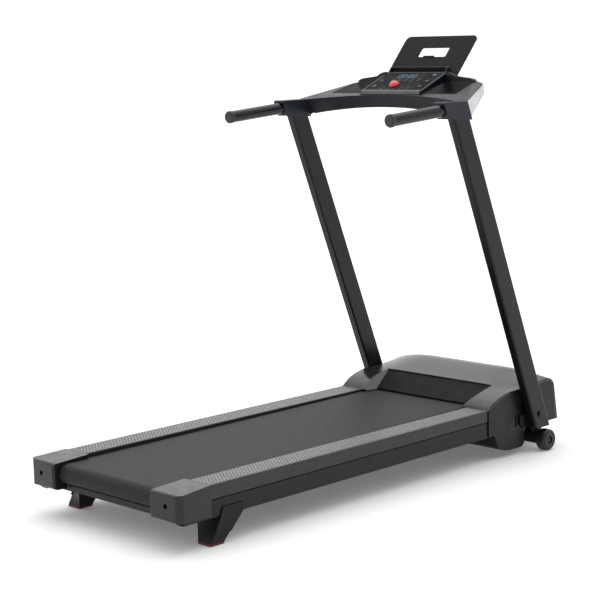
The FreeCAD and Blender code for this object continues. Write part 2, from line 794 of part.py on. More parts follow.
def sink(inward):
    """Space between the two sloping cheeks, open at the top and towards the belt."""
    block = box(-260.0, 260.0, hood_start - 30.0, visor_top_station, 60.0, 300.0)
    point, normal = cheek_plane(inward)
    right = half_space(point, normal)
    return block.common(right).common(mirrored(right))


def make_motor_hood():
    """Top cover: crowned shell with a wing over the front of each foot rail."""
    outer = hood_body(0.0, hood_half, hood_base_z)
    outer = outer.makeFillet(4.0, side_top_edges(outer, hood_half))
    cavity = hood_body(hood_wall, hood_half - hood_wall, hood_base_z - 1.0)
    cavity = cavity.cut(sink(-hood_wall))
    shell = outer.cut(cavity).cut(sink(0.0))
    below_seam = seam_block(0.0)
    shell = shell.cut(below_seam).cut(mirrored(below_seam))
    wing_foot = box(foot_rail_inner_x - 4.0, rail_outer_x + 1.2, hood_start - 2.0,
                    hood_start + hood_wall + 1.0, 60.0, deck_top_z + 1.0)
    shell = shell.cut(wing_foot).cut(mirrored(wing_foot))
    over_belt = box(-foot_rail_inner_x, foot_rail_inner_x, hood_start - 2.0,
                    visor_top_station + 2.0, 60.0, visor_foot_z)
    shell = shell.cut(over_belt).removeSplitter()
    return shell.cut(inlet_window())


def side_top_edges(solid, side_x):
    """Edges where the top surface meets the flat side walls."""
    picked = []
    for edge in solid.Edges:
        ends = [vertex.Point for vertex in edge.Vertexes]
        on_side = all(abs(abs(point.x) - side_x) < 0.01 for point in ends)
        high = all(point.z > hood_tip_z - 1.0 for point in ends)
        lengthwise = abs(ends[0].y - ends[-1].y) > 1.0
        if on_side and high and lengthwise:
            picked.append(edge)
    return picked


def seam_block(gap):
    """Region of the right side wall that belongs to the side cover, below the seam."""
    low_z = hood_base_z - 60.0
    inner_x = hood_half - hood_wall - seat_gap
    outer_x = hood_half + 5.0
    solid = hood_slice(seam_drop + gap, inner_x, outer_x, low_z, 1.0)
    front_part = box(inner_x, outer_x, hood_start - 5.0, hood_start + seam_drop + 2.0, low_z,
                     hood_tip_z + 1.0 - gap)
    rear_part = side_prism([(1560.0, low_z), (1700.0, low_z), (1700.0, 80.0), (1594.0, 188.0),
                            (1560.0, 188.0)], inner_x, outer_x)
    keep_front = side_prism([(cover_front_top - gap, 188.0), (cover_front_low - gap, low_z),
                             (1720.0, low_z), (1720.0, 188.0)], inner_x - 20.0, outer_x + 5.0)
    return solid.fuse(front_part).fuse(rear_part).cut(keep_front)


def keel_outline():
    """Rounded underside shared by the side covers and the belly pan: station and height."""
    return [(1292.0, hood_base_z - 1.0), (1309.0, 42.0), (1322.0, 31.0), (1340.0, 24.0),
            (1362.0, 20.5), (1400.0, 19.5), (1428.0, 20.5), (1438.0, 27.0), (1442.0, 38.0)]


def make_hood_side_cover():
    """Side cover: flat panel with a rounded keel that hangs below the frame."""
    inner_x = hood_half - hood_wall
    outer_x = hood_half
    solid = hood_slice(seam_drop + seat_gap, inner_x, outer_x, hood_base_z, 1.0)
    sill = box(inner_x, outer_x, hood_start, hood_start + 12.0, hood_base_z, hood_tip_z + 0.6)
    outline = [(1290.0, hood_base_z + 4.0)] + keel_outline()
    outline += [(1442.0, 68.0), (1430.0, hood_base_z + 4.0)]
    keel = side_prism(outline, inner_x, outer_x)
    margin = 2.0 * seat_gap
    front_limit = side_prism([(1200.0, 0.0), (cover_front_low - margin, 0.0),
                              (cover_front_low - margin, hood_base_z - 60.0),
                              (cover_front_top - margin, 188.0), (1560.0, 260.0),
                              (1200.0, 260.0)], inner_x - 1.0, outer_x + 1.0)
    panel = solid.fuse(sill).fuse(keel).removeSplitter()
    panel = panel.common(front_limit)
    slot = box(inner_x - 1.0, outer_x + 1.0, 1395.0, 1402.0, 88.0, 126.0)
    return panel.cut(slot)


def make_hood_visor():
    """Sunk sloping panel between the cheeks that runs down to the belt."""
    top_s = visor_top_station - seat_gap
    outline = [(visor_foot_station, visor_foot_z),
               (visor_foot_station + 0.6, visor_foot_z + visor_thickness),
               (top_s, visor_top_z), (top_s + visor_tuck, visor_top_z - 6.5),
               (top_s + visor_tuck, visor_top_z - 9.0), (top_s, visor_top_z - 4.5),
               (visor_foot_station + visor_thickness + 1.0, visor_foot_z)]
    panel = side_prism(outline, -visor_half - 10.0, visor_half + 10.0)
    point, normal = cheek_plane(seat_gap)
    right = half_space(point, normal)
    return panel.common(right).common(mirrored(right))


def make_belly_pan():
    """Underside cover between the two side covers."""
    half = hood_half - hood_wall - seat_gap
    outer = [(1293.0, 73.0)] + keel_outline()[1:] + [(1442.0, 73.0)]
    inner = [(1439.0, 73.0), (1439.0, 39.0), (1435.5, 29.5), (1427.0, 23.5), (1400.0, 22.5),
             (1362.5, 23.5), (1341.0, 27.0), (1323.5, 33.6), (1311.5, 44.0), (1296.5, 73.0)]
    return side_prism(outer + inner, -half, half)


def on_front_wall(shape):
    """Place a shape drawn flat (x, height up the wall, distance out of it) on the hood's front."""
    length = math.hypot(wall_run, wall_fall)
    up = Vec(0, -wall_run / length, wall_fall / length)
    out = Vec(0, wall_fall / length, wall_run / length)
    turn = FreeCAD.Rotation(Vec(-1, 0, 0), up, out, "ZXY")
    copy = shape.copy()
    base = Vec(inlet_x, at(hood_end), hood_base_z)
    copy.Placement = FreeCAD.Placement(base, turn).multiply(copy.Placement)
    return copy


def inlet_window():
    """Opening in the hood's front wall for the inlet plate."""
    return on_front_wall(flat_box(-inlet_half, inlet_half, inlet_low, inlet_high, -6.0, 6.0))


# ================================================================ power entry
def make_power_inlet():
    """Mains inlet: plate with a shrouded socket and three pins, and the switch frame above."""
    plate = flat_box(-inlet_half + seat_gap, inlet_half - seat_gap, inlet_low + seat_gap,
                     inlet_high - seat_gap, -2.6, 0.0)
    shroud = flat_box(-14.0, 14.0, inlet_low + 3.0, inlet_low + 23.0, -20.0, -2.6)
    mouth = flat_box(-12.0, 12.0, inlet_low + 5.0, inlet_low + 21.0, -17.0, 1.0)
    cradle = flat_box(-13.0, 13.0, inlet_low + 26.0, inlet_low + 43.0, -16.0, -2.6)
    well = flat_box(-11.0, 11.0, inlet_low + 28.0, inlet_low + 41.0, -13.0, 1.0)
    body = plate.fuse(shroud).fuse(cradle).cut(mouth).cut(well)
    for dx, dy in ((-7.0, 0.0), (7.0, 0.0), (0.0, 4.0)):
        pin = flat_box(dx - 1.0, dx + 1.0, inlet_low + 9.0 + dy, inlet_low + 13.0 + dy,
                       -17.5, -9.5)
        body = body.fuse(pin)
    pivot_way = Part.makeCylinder(rocker_pivot_radius + running_gap, 25.0,
                                  Vec(-12.5, inlet_low + rocker_pivot_rise,
                                      -rocker_pivot_depth), Vec(1, 0, 0))
    return on_front_wall(body.removeSplitter().cut(pivot_way))


def make_power_rocker():
    """Rocker of the power switch with a round pivot at each side."""
    middle = inlet_low + rocker_pivot_rise
    profile = [(middle - 4.8, -1.2), (middle, -2.6), (middle + 4.8, 0.9), (middle + 4.6, -3.6),
               (middle + 2.0, -9.2), (middle - 2.0, -9.2), (middle - 4.6, -4.6)]
    corners = [Vec(-rocker_half, y, z) for y, z in profile]
    corners.append(corners[0])
    rocker = Part.Face(Part.makePolygon(corners)).extrude(Vec(2.0 * rocker_half, 0, 0))
    pivot = Part.makeCylinder(rocker_pivot_radius, 24.4,
                              Vec(-12.2, middle, -rocker_pivot_depth), Vec(1, 0, 0))
    return on_front_wall(rocker.fuse(pivot).removeSplitter())


# ================================================================ drive
def make_motor_mount():
    """Plate across the side tubes with two saddles for the motor."""
    plate = box(-rail_inner_x + 0.2, rail_inner_x - 0.2, 1416.0, 1556.0, 82.0, 86.0)
    mount = plate
    for x0 in (-182.0, -62.0):
        saddle = box(x0, x0 + 20.0, motor_station - 34.0, motor_station + 34.0, 86.0, 122.0)
        hollow = rod_x(motor_radius, x0 - 1.0, x0 + 21.0, motor_station, motor_z)
        mount = mount.fuse(saddle.cut(hollow))
    return mount.removeSplitter()


def make_motor_housing():
    """Finned motor can with a bored left end and a closed right end."""
    can = rod_x(motor_radius, motor_left_x, motor_right_x, motor_station, motor_z)
    cavity = rod_x(motor_radius - 4.0, motor_left_x + 8.0, motor_right_x - 8.0,
                   motor_station, motor_z)
    bore = rod_x(motor_shaft_radius + running_gap, motor_left_x - 1.0, motor_right_x + 1.0,
                 motor_station, motor_z)
    can = can.cut(cavity).cut(bore)
    for index in range(3):
        x0 = motor_right_x - 34.0 + index * 9.0
        groove = rod_x(motor_radius + 1.0, x0, x0 + 4.0, motor_station, motor_z)
        core = rod_x(motor_radius - 1.6, x0 - 1.0, x0 + 5.0, motor_station, motor_z)
        can = can.cut(groove.cut(core))
    return can


def make_motor_rotor():
    """Motor shaft with its armature, flywheel and small pulley."""
    shaft = rod_x(motor_shaft_radius, pulley_left_x, motor_right_x + 6.0, motor_station,
                  motor_z)
    armature = rod_x(motor_radius - 9.0, motor_left_x + 24.0, motor_right_x - 24.0,
                     motor_station, motor_z)
    pulley = rod_x(motor_pulley_radius, pulley_left_x, pulley_right_x, motor_station,
                   motor_z)
    flywheel = rod_x(flywheel_radius, flywheel_left_x, flywheel_right_x, motor_station,
                     motor_z)
    recess = rod_x(flywheel_radius - 9.0, flywheel_right_x - 8.0, flywheel_right_x + 1.0,
                   motor_station, motor_z)
    hub = rod_x(16.0, flywheel_right_x - 9.0, flywheel_right_x + 2.0, motor_station,
                motor_z)
    flywheel = flywheel.cut(recess.cut(hub))
    rotor = shaft.fuse(armature).fuse(pulley).fuse(flywheel)
    return rotor.removeSplitter()


def tangent_loop(r0, r1, x0, x1):
    """Prism inside a belt wrapped round two pulleys of radius r0 and r1."""
    s0 = front_roller_station
    s1 = motor_station
    span_y = s1 - s0
    span_z = motor_z - roller_axis_z
    span = math.hypot(span_y, span_z)
    tilt = math.atan2(span_z, span_y)
    lean = math.acos((r0 - r1) / span)
    corners = []
    for centre_s, centre_z, radius, sign in ((s0, roller_axis_z, r0, 1.0), (s1, motor_z, r1, 1.0),
                                             (s1, motor_z, r1, -1.0), (s0, roller_axis_z, r0, -1.0)):
        angle = tilt + sign * lean
        corners.append(Vec(x0, at(centre_s) + radius * math.cos(angle),
                           centre_z + radius * math.sin(angle)))
    corners.append(corners[0])
    middle = Part.Face(Part.makePolygon(corners)).extrude(Vec(x1 - x0, 0, 0))
    rear = rod_x(r0, x0, x1, s0, roller_axis_z)
    front = rod_x(r1, x0, x1, s1, motor_z)
    return middle.fuse(rear).fuse(front).removeSplitter()


def make_drive_belt():
    """Ribbed drive belt between the motor pulley and the roller pulley."""
    x0 = pulley_left_x + 2.0
    x1 = pulley_right_x - 2.0
    gap = 0.3
    outer = tangent_loop(roller_pulley_radius + gap + drive_belt_thickness,
                         motor_pulley_radius + gap + drive_belt_thickness, x0, x1)
    inner = tangent_loop(roller_pulley_radius + gap, motor_pulley_radius + gap, x0 - 1.0,
                         x1 + 1.0)
    return outer.cut(inner)


def make_motor_controller():
    """Controller board in a finned tray."""
    tray = box(40.0, 190.0, 1432.0, 1546.0, 86.2, 104.0)
    cavity = box(43.0, 187.0, 1435.0, 1543.0, 89.0, 105.0)
    tray = tray.cut(cavity)
    for index in range(6):
        fin = box(56.0 + index * 22.0, 60.0 + index * 22.0, 1435.0, 1543.0, 88.0, 118.0)
        tray = tray.fuse(fin)
    return tray.removeSplitter()


# ================================================================ uprights
def make_upright():
    """Leaning rectangular tube, cut level at its lower end."""
    half = upright_depth / 2.0
    outline = []
    for z, offset in ((upright_bottom_z, -half), (upright_bottom_z, half),
                      (upright_top_z, half), (upright_top_z, -half)):
        outline.append((upright_station(z) + offset, z))
    outer = side_prism(outline, upright_inner_x, upright_outer_x)
    outer = round_edges(outer, 6.0, lambda edge: abs(edge.tangentAt(edge.FirstParameter).z)
                        > 0.8)
    wall_level = upright_wall * math.hypot(1.0, upright_slope)
    inner_outline = []
    for z, offset in ((upright_bottom_z - 5.0, -half + wall_level),
                      (upright_bottom_z - 5.0, half - wall_level),
                      (upright_top_z + 5.0, half - wall_level),
                      (upright_top_z + 5.0, -half + wall_level)):
        inner_outline.append((upright_station(z) + offset, z))
    inner = side_prism(inner_outline, upright_inner_x + upright_wall,
                       upright_outer_x - upright_wall)
    inner = round_edges(inner, 4.0, lambda edge: abs(edge.tangentAt(edge.FirstParameter).z)
                        > 0.8)
    hole = rod_x(pivot_bolt_radius + running_gap, upright_inner_x - 1.0,
                 upright_outer_x + 1.0, upright_station(pivot_z), pivot_z)
    return outer.cut(inner).cut(hole)


def sleeve_outline(rear_trim, front_trim, top_trim, bottom_trim):
    """Side outline of a sleeve with each face moved in by its trim."""
    top = sleeve_top_z - top_trim
    rear_bottom = 1068.0 + bottom_trim
    front_bottom = 1061.0 + bottom_trim
    return [(upright_station(top) - sleeve_rear_reach + rear_trim, top),
            (upright_station(top) + sleeve_front_reach - front_trim, top),
            (upright_station(front_bottom) + sleeve_front_reach - front_trim, front_bottom),
            (upright_station(rear_bottom) - sleeve_rear_reach + rear_trim, rear_bottom)]


def make_grip_sleeve():
    """Collar round the upright's top and the handle's root, open towards the user."""
    outer = side_prism(sleeve_outline(0.0, 0.0, 0.0, 0.0), sleeve_inner_x, sleeve_outer_x)
    outer = round_edges(outer, 7.0, lambda edge: edge_runs(edge, 0)
                        and edge.Vertexes[0].Point.z > sleeve_top_z - 1.0)
    outer = round_edges(outer, 2.5, lambda edge: edge.Vertexes[0].Point.z
                        < sleeve_top_z - 4.0 or edge.Vertexes[1].Point.z < sleeve_top_z - 4.0
                        or abs(edge.tangentAt(edge.FirstParameter).x) < 0.5)
    cavity = side_prism(sleeve_outline(sleeve_wall, sleeve_wall, sleeve_wall, sleeve_wall),
                        sleeve_inner_x + sleeve_wall, sleeve_outer_x - sleeve_wall)
    start, run, length = handle_axis()
    handle_way = Part.makeCylinder(handle_radius + 0.6, length + 20.0, start, run)
    cavity = cavity.fuse(handle_way)
    half = upright_depth / 2.0
    leg = []
    for z, offset in ((1040.0, -half - seat_gap), (1040.0, half + seat_gap),
                      (1090.0, half + seat_gap), (1090.0, -half - seat_gap)):
        leg.append((upright_station(z) + offset, z))
    leg_way = side_prism(leg, upright_inner_x - seat_gap, upright_outer_x + seat_gap)
    tab_way = box(tab_inner_x - 0.5, tab_outer_x + 0.5, 1120.0, 1170.0, tab_bottom_z - 0.5,
                  tab_top_z + 0.5)
    return outer.cut(cavity).cut(leg_way).cut(tab_way)


def handle_axis():
    """Start point, unit direction and length of the right handle's centre line."""
    root_station = upright_station(handle_root_z) - upright_depth / 2.0 - 1.0
    start = Vec(handle_x, at(handle_rear_station), handle_rear_z)
    end = Vec(handle_x, at(root_station), handle_root_z)
    run = end.sub(start)
    length = run.Length
    run.normalize()
    return start, run, length


def make_handlebar():
    """Handle tube, mitred against the back of the upright."""
    start, run, length = handle_axis()
    outer = Part.makeCylinder(handle_radius, length + 30.0, start, run)
    inner = Part.makeCylinder(handle_radius - handle_wall, length + 40.0,
                              start.sub(run.multiply(5.0)), handle_axis()[1])
    tube = outer.cut(inner)
    return tube.cut(upright_keep_out(1000.0, 1200.0))


def upright_keep_out(z0, z1):
    """Everything forward of the upright's back face."""
    half = upright_depth / 2.0 + seat_gap
    outline = [(upright_station(z0) - half, z0), (1400.0, z0), (1400.0, z1),
               (upright_station(z1) - half, z1)]
    return side_prism(outline, 280.0, 390.0)


def make_handle_end_cap():
    """Rounded plug over the free end of a handle."""
    start, run, length = handle_axis()
    back = Vec(run)
    back.multiply(-handle_cap_length)
    origin = start.add(back)
    cap = Part.makeCylinder(handle_cap_radius, handle_cap_length - seat_gap, origin, run)
    cap = cap.makeFillet(5.0, [edge for edge in cap.Edges
                               if edge.Vertexes[0].Point.y < origin.y + 3.0
                               and isinstance(edge.Curve, Part.Circle)])
    spigot = Part.makeCylinder(handle_radius - handle_wall - running_gap, 22.0,
                               origin.add(Vec(run).multiply(4.0)), run)
    return cap.fuse(spigot).removeSplitter()


# ================================================================ console
def console_section(x, inset, low_extra):
    """Four corners of the console's cross-section at x, moved in by inset."""
    u = min(abs(x) / console_reference_half, 1.15)
    low_station = console_lower_mid_station - console_lower_sag * u * u
    low_z = console_lower_mid_z - console_arch * u * u
    rear_station = console_rear_mid_station - console_rear_sag * u * u
    front_low_z = console_front_low_z + console_front_arch * (1.0 - u * u)
    corners = [Vec(x, at(low_station + inset), low_z - low_extra),
               Vec(x, at(rear_station + inset * 1.1), console_plane_z(rear_station) - inset),
               Vec(x, at(console_front_station - inset),
                   console_plane_z(console_front_station) - inset),
               Vec(x, at(console_front_low_station - inset), front_low_z - low_extra)]
    corners.append(corners[0])
    return Part.makePolygon(corners)


def console_loft(inset, low_extra):
    """Smooth body through the console's cross-sections."""
    stations = (-356.0, -300.0, -220.0, -120.0, 0.0, 120.0, 220.0, 300.0, 356.0)
    wires = [console_section(x, inset, low_extra) for x in stations]
    return Part.makeLoft(wires, True, False)


def trim_line(offset):
    """Two plan points of the right side plane, moved inwards by offset."""
    run_x = trim_front_x - trim_rear_x
    run_s = trim_front_station - trim_rear_station
    length = math.hypot(run_x, run_s)
    normal_x = -run_s / length
    normal_s = run_x / length
    rear = (trim_rear_x + normal_x * offset, trim_rear_station + normal_s * offset)
    front = (trim_front_x + normal_x * offset, trim_front_station + normal_s * offset)
    return rear, front


def outside_right(offset):
    """Everything to the right of the slanting side plane."""
    rear, front = trim_line(offset)
    run_x = front[0] - rear[0]
    run_s = front[1] - rear[1]
    back = (rear[0] - run_x, rear[1] - run_s)
    ahead = (front[0] + run_x * 0.3, front[1] + run_s * 0.3)
    plan = [back, ahead, (520.0, ahead[1]), (520.0, back[1])]
    return plan_prism(plan, 980.0, 1300.0)


def behind_sleeve_front(reach, x0, x1):
    """Space on the user's side of the sleeve's front face."""
    outline = [(upright_station(1000.0) + reach, 1000.0), (upright_station(1180.0) + reach, 1180.0),
               (900.0, 1180.0), (900.0, 1000.0)]
    return side_prism(outline, x0, x1)


def tray_pocket(grow, deep):
    """Tapering hollow for the right tray, grown on every side by grow."""
    rim_z = console_plane_z(1250.0) + 40.0
    rim = [(132.0 - grow, 1191.0 - grow), (260.0 + grow, 1191.0 - grow),
           (246.0 + grow, brow_start + grow), (130.0 - grow, brow_start + grow)]
    floor = [(150.0 - grow, 1205.0 - grow), (224.0 + grow, 1205.0 - grow),
             (206.0 + grow, 1293.0 + grow), (150.0 - grow, 1293.0 + grow)]
    lower = []
    upper = []
    for (fx, fs), (rx, rs) in zip(floor, rim):
        bottom_z = console_plane_z(fs) - deep
        top_z = console_plane_z(rs)
        lower.append(Vec(fx, at(fs), bottom_z))
        lift = (rim_z - bottom_z) / (top_z - bottom_z)
        upper.append(Vec(fx + (rx - fx) * lift, at(fs + (rs - fs) * lift),
                         bottom_z + (top_z - bottom_z) * lift))
    lower.append(lower[0])
    upper.append(upper[0])
    return Part.makeLoft([Part.makePolygon(lower), Part.makePolygon(upper)], True, True)


def shoulder_bevel():
    """Half-space that bevels the right shoulder down to the side trim."""
    p1 = Vec(351.0, at(1133.0), 1116.0)
    p2 = Vec(258.0, at(1322.0), 1159.5)
    p3 = Vec(282.0, at(1233.0), console_plane_z(1233.0))
    normal = p2.sub(p1).cross(p3.sub(p1))
    if normal.z < 0.0:
        normal = normal.multiply(-1.0)
    normal.normalize()
    slab = Part.makeBox(600.0, 600.0, 120.0, Vec(-300.0, -300.0, 0.0))
    turn = FreeCAD.Rotation(Vec(0, 0, 1), normal)
    slab.Placement = FreeCAD.Placement(p3, turn)
    keep_left = box(-400.0, 200.0, 900.0, 1600.0, 900.0, 1500.0)
    return slab.cut(keep_left)


def make_console_shell():
    """Console moulding with a tray sunk on each side of the display."""
    body = console_loft(0.0, 0.0)
    sleeves_right = behind_sleeve_front(sleeve_front_reach + body_gap, 310.0, 380.0)
    body = body.cut(outside_right(trim_thickness + seat_gap))
    body = body.cut(mirrored(outside_right(trim_thickness + seat_gap)))
    body = body.cut(sleeves_right).cut(mirrored(sleeves_right))
    body = body.cut(shoulder_bevel()).cut(mirrored(shoulder_bevel()))
    cavity = console_loft(console_wall, 14.0)
    cavity = cavity.cut(outside_right(2.0 * trim_thickness + console_wall))
    cavity = cavity.cut(mirrored(outside_right(2.0 * trim_thickness + console_wall)))
    inner_front = behind_sleeve_front(sleeve_front_reach + console_wall, 306.0, 380.0)
    cavity = cavity.cut(inner_front).cut(mirrored(inner_front))
    lowered = shoulder_bevel()
    lowered.translate(Vec(0, 0, -console_wall))
    cavity = cavity.cut(lowered).cut(mirrored(lowered))
    pocket_wall = tray_pocket(2.6, tray_depth + 2.6)
    cavity = cavity.cut(pocket_wall).cut(mirrored(pocket_wall))
    body = body.cut(cavity)
    pocket = tray_pocket(0.0, tray_depth)
    body = body.cut(pocket).cut(mirrored(pocket))
    tab_way = box(tab_inner_x - 0.5, tab_outer_x + 0.5, 1120.0, 1170.0, tab_bottom_z - 0.5,
                  tab_top_z + 0.5)
    body = body.cut(tab_way).cut(mirrored(tab_way))
    return body.fuse(console_brow()).fuse(mirrored(console_brow())).removeSplitter()


def console_brow():
    """Low rim behind the right tray, rising towards the display."""
    half_profile = [(262.0, 1150.0), (256.0, 1158.0), (240.0, 1169.5), (228.0, 1174.5),
                    (212.0, 1177.2), (180.0, 1180.4),
                    (160.0, 1183.0), (148.0, 1190.0), (136.0, 1194.5), (pod_half + 0.6, 1196.0),
                    (pod_half + 0.6, 1150.0)]
    rim = front_prism(half_profile, brow_start, console_front_station - 0.5)
    plane = side_prism([(1200.0, 1000.0), (1400.0, 1000.0),
                        (1400.0, console_plane_z(1400.0) - 1.0),
                        (1200.0, console_plane_z(1200.0) - 1.0)], 100.0, 300.0)
    return rim.cut(plane)


def make_console_cover():
    """Lower cover that closes the console from below."""
    stations = (-330.0, -300.0, -220.0, -120.0, 0.0, 120.0, 220.0, 300.0, 330.0)
    wires = []
    for x in stations:
        u = min(abs(x) / console_reference_half, 1.15)
        low_station = console_lower_mid_station - console_lower_sag * u * u
        low_z = console_lower_mid_z - console_arch * u * u
        front_low_z = console_front_low_z + console_front_arch * (1.0 - u * u)
        s0 = low_station + console_wall + 5.0
        s1 = console_front_low_station - console_wall - 8.0
        rise = (front_low_z - low_z) / (console_front_low_station - low_station)
        z0 = low_z + rise * (s0 - low_station)
        z1 = low_z + rise * (s1 - low_station)
        corners = [Vec(x, at(s0), z0 + 0.4), Vec(x, at(s0), z0 + 3.0),
                   Vec(x, at(s1), z1 + 3.0), Vec(x, at(s1), z1 + 0.4)]
        corners.append(corners[0])
        wires.append(Part.makePolygon(corners))
    plate = Part.makeLoft(wires, True, False)
    limit = outside_right(2.0 * trim_thickness + console_wall + 0.6)
    plate = plate.cut(limit).cut(mirrored(limit))
    near = behind_sleeve_front(sleeve_front_reach + console_wall + 2.0, 304.0, 380.0)
    return plate.cut(near).cut(mirrored(near))


def make_console_crossbar():
    """Steel bar inside the console with a tab bolted to each upright."""
    s0 = crossbar_station
    s1 = crossbar_station + crossbar_size
    z0 = crossbar_bottom_z
    z1 = crossbar_bottom_z + crossbar_size
    bar = box(-304.0, 304.0, s0, s1, z0, z1)
    hollow = box(-305.0, 305.0, s0 + 2.0, s1 - 2.0, z0 + 2.0, z1 - 2.0)
    crossbar = bar.cut(hollow)
    half = upright_depth / 2.0
    plan = [(304.0, s1), (311.0, s1 - 4.0), (tab_outer_x, 1153.0), (tab_outer_x, 1100.0),
            (tab_inner_x, 1100.0), (tab_inner_x, 1151.0), (304.0, s0)]
    tab = plan_prism(plan, tab_bottom_z, tab_top_z)
    riser = box(304.0, 310.0, s0, s1 - 4.0, tab_bottom_z, z1)
    tab = tab.fuse(riser).removeSplitter()
    front_face = [(upright_station(1000.0) + half + 0.1, 1000.0),
                  (upright_station(1200.0) + half + 0.1, 1200.0), (1000.0, 1200.0),
                  (1000.0, 1000.0)]
    tab = tab.cut(side_prism(front_face, 300.0, 360.0))
    return group([crossbar, tab, mirrored(tab)])


def make_side_trim():
    """Bright side plate of the console."""
    slab = outside_right(0.0)
    inner = outside_right(trim_thickness)
    plate = inner.cut(slab)
    outline = [(1133.4, 1114.5), (1322.0, 1157.0), (1328.0, 1152.0), (1334.0, 1130.5),
               (1326.0, 1126.0), (1152.8, 1060.5)]
    plate = plate.common(side_prism(outline, 200.0, 400.0))
    near = behind_sleeve_front(sleeve_front_reach + body_gap, 300.0, 400.0)
    return plate.cut(near)


# ================================================================ display
def make_display_housing():
    """Raised wedge that carries the control panel."""
    s_far = panel_start_station + panel_length * math.cos(panel_angle) - 1.0
    z_far = panel_start_z + panel_length * math.sin(panel_angle)
    outline = [(1183.0, console_plane_z(1183.0) + 0.2),
               (panel_start_station, panel_start_z),
               (s_far - 4.0, z_far - 1.7), (s_far - 0.5, z_far - 4.0),
               (s_far - 0.5, console_plane_z(s_far) + 0.2)]
    outer = side_prism(outline, -pod_half, pod_half)
    outer = round_edges(outer, 2.0, lambda edge: abs(edge.tangentAt(edge.FirstParameter).x)
                        < 0.1 and edge.Vertexes[0].Point.z > panel_start_z - 0.5
                        and edge.Vertexes[1].Point.z > panel_start_z - 0.5)
    for side in (-1.0, 1.0):
        x0 = side * 113.0
        ear = side_prism([(1309.0, 1189.0), (1322.0, 1209.0), (1333.0, 1213.5),
                          (1339.0, 1206.0), (1331.0, 1196.0), (1317.0, 1180.0)],
                         min(x0, x0 + side * 6.0), max(x0, x0 + side * 6.0))
        outer = outer.fuse(ear)
    outer = outer.removeSplitter()
    cavity_outline = [(1195.0, console_plane_z(1195.0) - 1.0), (1199.0, 1141.5),
                      (s_far - 6.0, z_far - 11.5), (s_far - 6.0, console_plane_z(s_far) - 1.0)]
    cavity = side_prism(cavity_outline, -pod_half + pod_wall, pod_half - pod_wall)
    housing = outer.cut(cavity)
    seat = on_panel(flat_box(-overlay_half, overlay_half, 5.0, panel_length - 12.0,
                             -overlay_thickness, 5.0))
    housing = housing.cut(seat)
    for x, y, width, height in key_layout():
        well = on_panel(flat_box(x - width / 2.0 - key_gap, x + width / 2.0 + key_gap,
                                 y - height / 2.0 - key_gap, y + height / 2.0 + key_gap,
                                 -key_depth - key_travel - 0.5, 2.0))
        housing = housing.cut(well)
    for side in (-1.0, 1.0):
        pin_way = rod_x(hinge_pin_radius + 0.02, min(side * 110.0, side * 122.0),
                        max(side * 110.0, side * 122.0), hinge_station, hinge_z)
        housing = housing.cut(pin_way)
    socket = on_panel(Part.makeCylinder(key_post_radius + 0.3, 6.0,
                                        Vec(safety_x, safety_y, -4.5)))
    return housing.cut(socket)


def key_layout():
    """Centre and size of each push key on the flat panel: x, y, width, height."""
    return ((-96.0, 36.0, 26.0, 22.0), (-96.0, 74.0, 26.0, 22.0), (92.0, 36.0, 26.0, 22.0),
            (92.0, 74.0, 26.0, 22.0))


def make_display_overlay():
    """Thin printed panel sheet, cut out for the keys and the safety key."""
    sheet = rounded_plate(-overlay_half + 0.2, overlay_half - 0.2, 5.2, panel_length - 12.2,
                          -overlay_thickness + 0.1, 0.4, 3.0)
    for x, y, width, height in key_layout():
        hole = flat_box(x - width / 2.0 - key_gap, x + width / 2.0 + key_gap,
                        y - height / 2.0 - key_gap, y + height / 2.0 + key_gap, -3.0, 3.0)
        sheet = sheet.cut(hole)
    post_way = Part.makeCylinder(key_post_radius + 0.3, 6.0, Vec(safety_x, safety_y, -3.0))
    window = flat_box(-56.0, 56.0, 92.0, 120.0, -3.0, 3.0)
    return on_panel(sheet.cut(post_way).cut(window))


def make_display_window():
    """Dark lens over the readout."""
    lens = rounded_plate(-55.8, 55.8, 92.2, 119.8, -overlay_thickness + 0.1, 0.3, 2.0)
    return on_panel(lens)


def make_display_board():
    """Circuit board under the panel, inside the housing."""
    board = side_prism([(1215.0, 1142.0), (1300.0, 1171.0), (1300.0, 1172.6),
                        (1215.0, 1143.6)], -100.0, 100.0)
    return board


def make_panel_key(index):
    """One push key, standing slightly proud of the panel."""
    x, y, width, height = key_layout()[index]
    key = rounded_plate(x - width / 2.0, x + width / 2.0, y - height / 2.0,
                        y + height / 2.0, -key_depth, key_proud, 3.0)
    key = key.makeFillet(0.4, [edge for edge in key.Edges
                               if edge.BoundBox.ZMin > key_proud - 0.01])
    return on_panel(key)


def make_safety_key():
    """Domed red safety key with a short post in the panel's socket."""
    radius = 16.5
    height = 13.0
    sphere_radius = (radius * radius + height * height) / (2.0 * height)
    ball = Part.makeSphere(sphere_radius, Vec(safety_x, safety_y, height - sphere_radius))
    base = Part.makeCylinder(radius, height + 1.0, Vec(safety_x, safety_y, 0.8))
    dome = ball.common(base)
    post = Part.makeCylinder(key_post_radius, 4.0, Vec(safety_x, safety_y, -3.0))
    key = dome.fuse(post).removeSplitter()
    grip = Part.makeTorus(4.0, 1.1, Vec(safety_x, safety_y, height + 0.4))
    return on_panel(key.cut(grip))


# ================================================================ tablet holder
def on_holder(shape):
    """Place a shape drawn flat (x, distance up the holder, towards the user) on the holder."""
    turn = FreeCAD.Rotation(Vec(1, 0, 0), holder_tilt_deg)
    copy = shape.copy()
    base = Vec(0, at(hinge_station), hinge_z)
    copy.Placement = FreeCAD.Placement(base, turn).multiply(copy.Placement)
    return copy


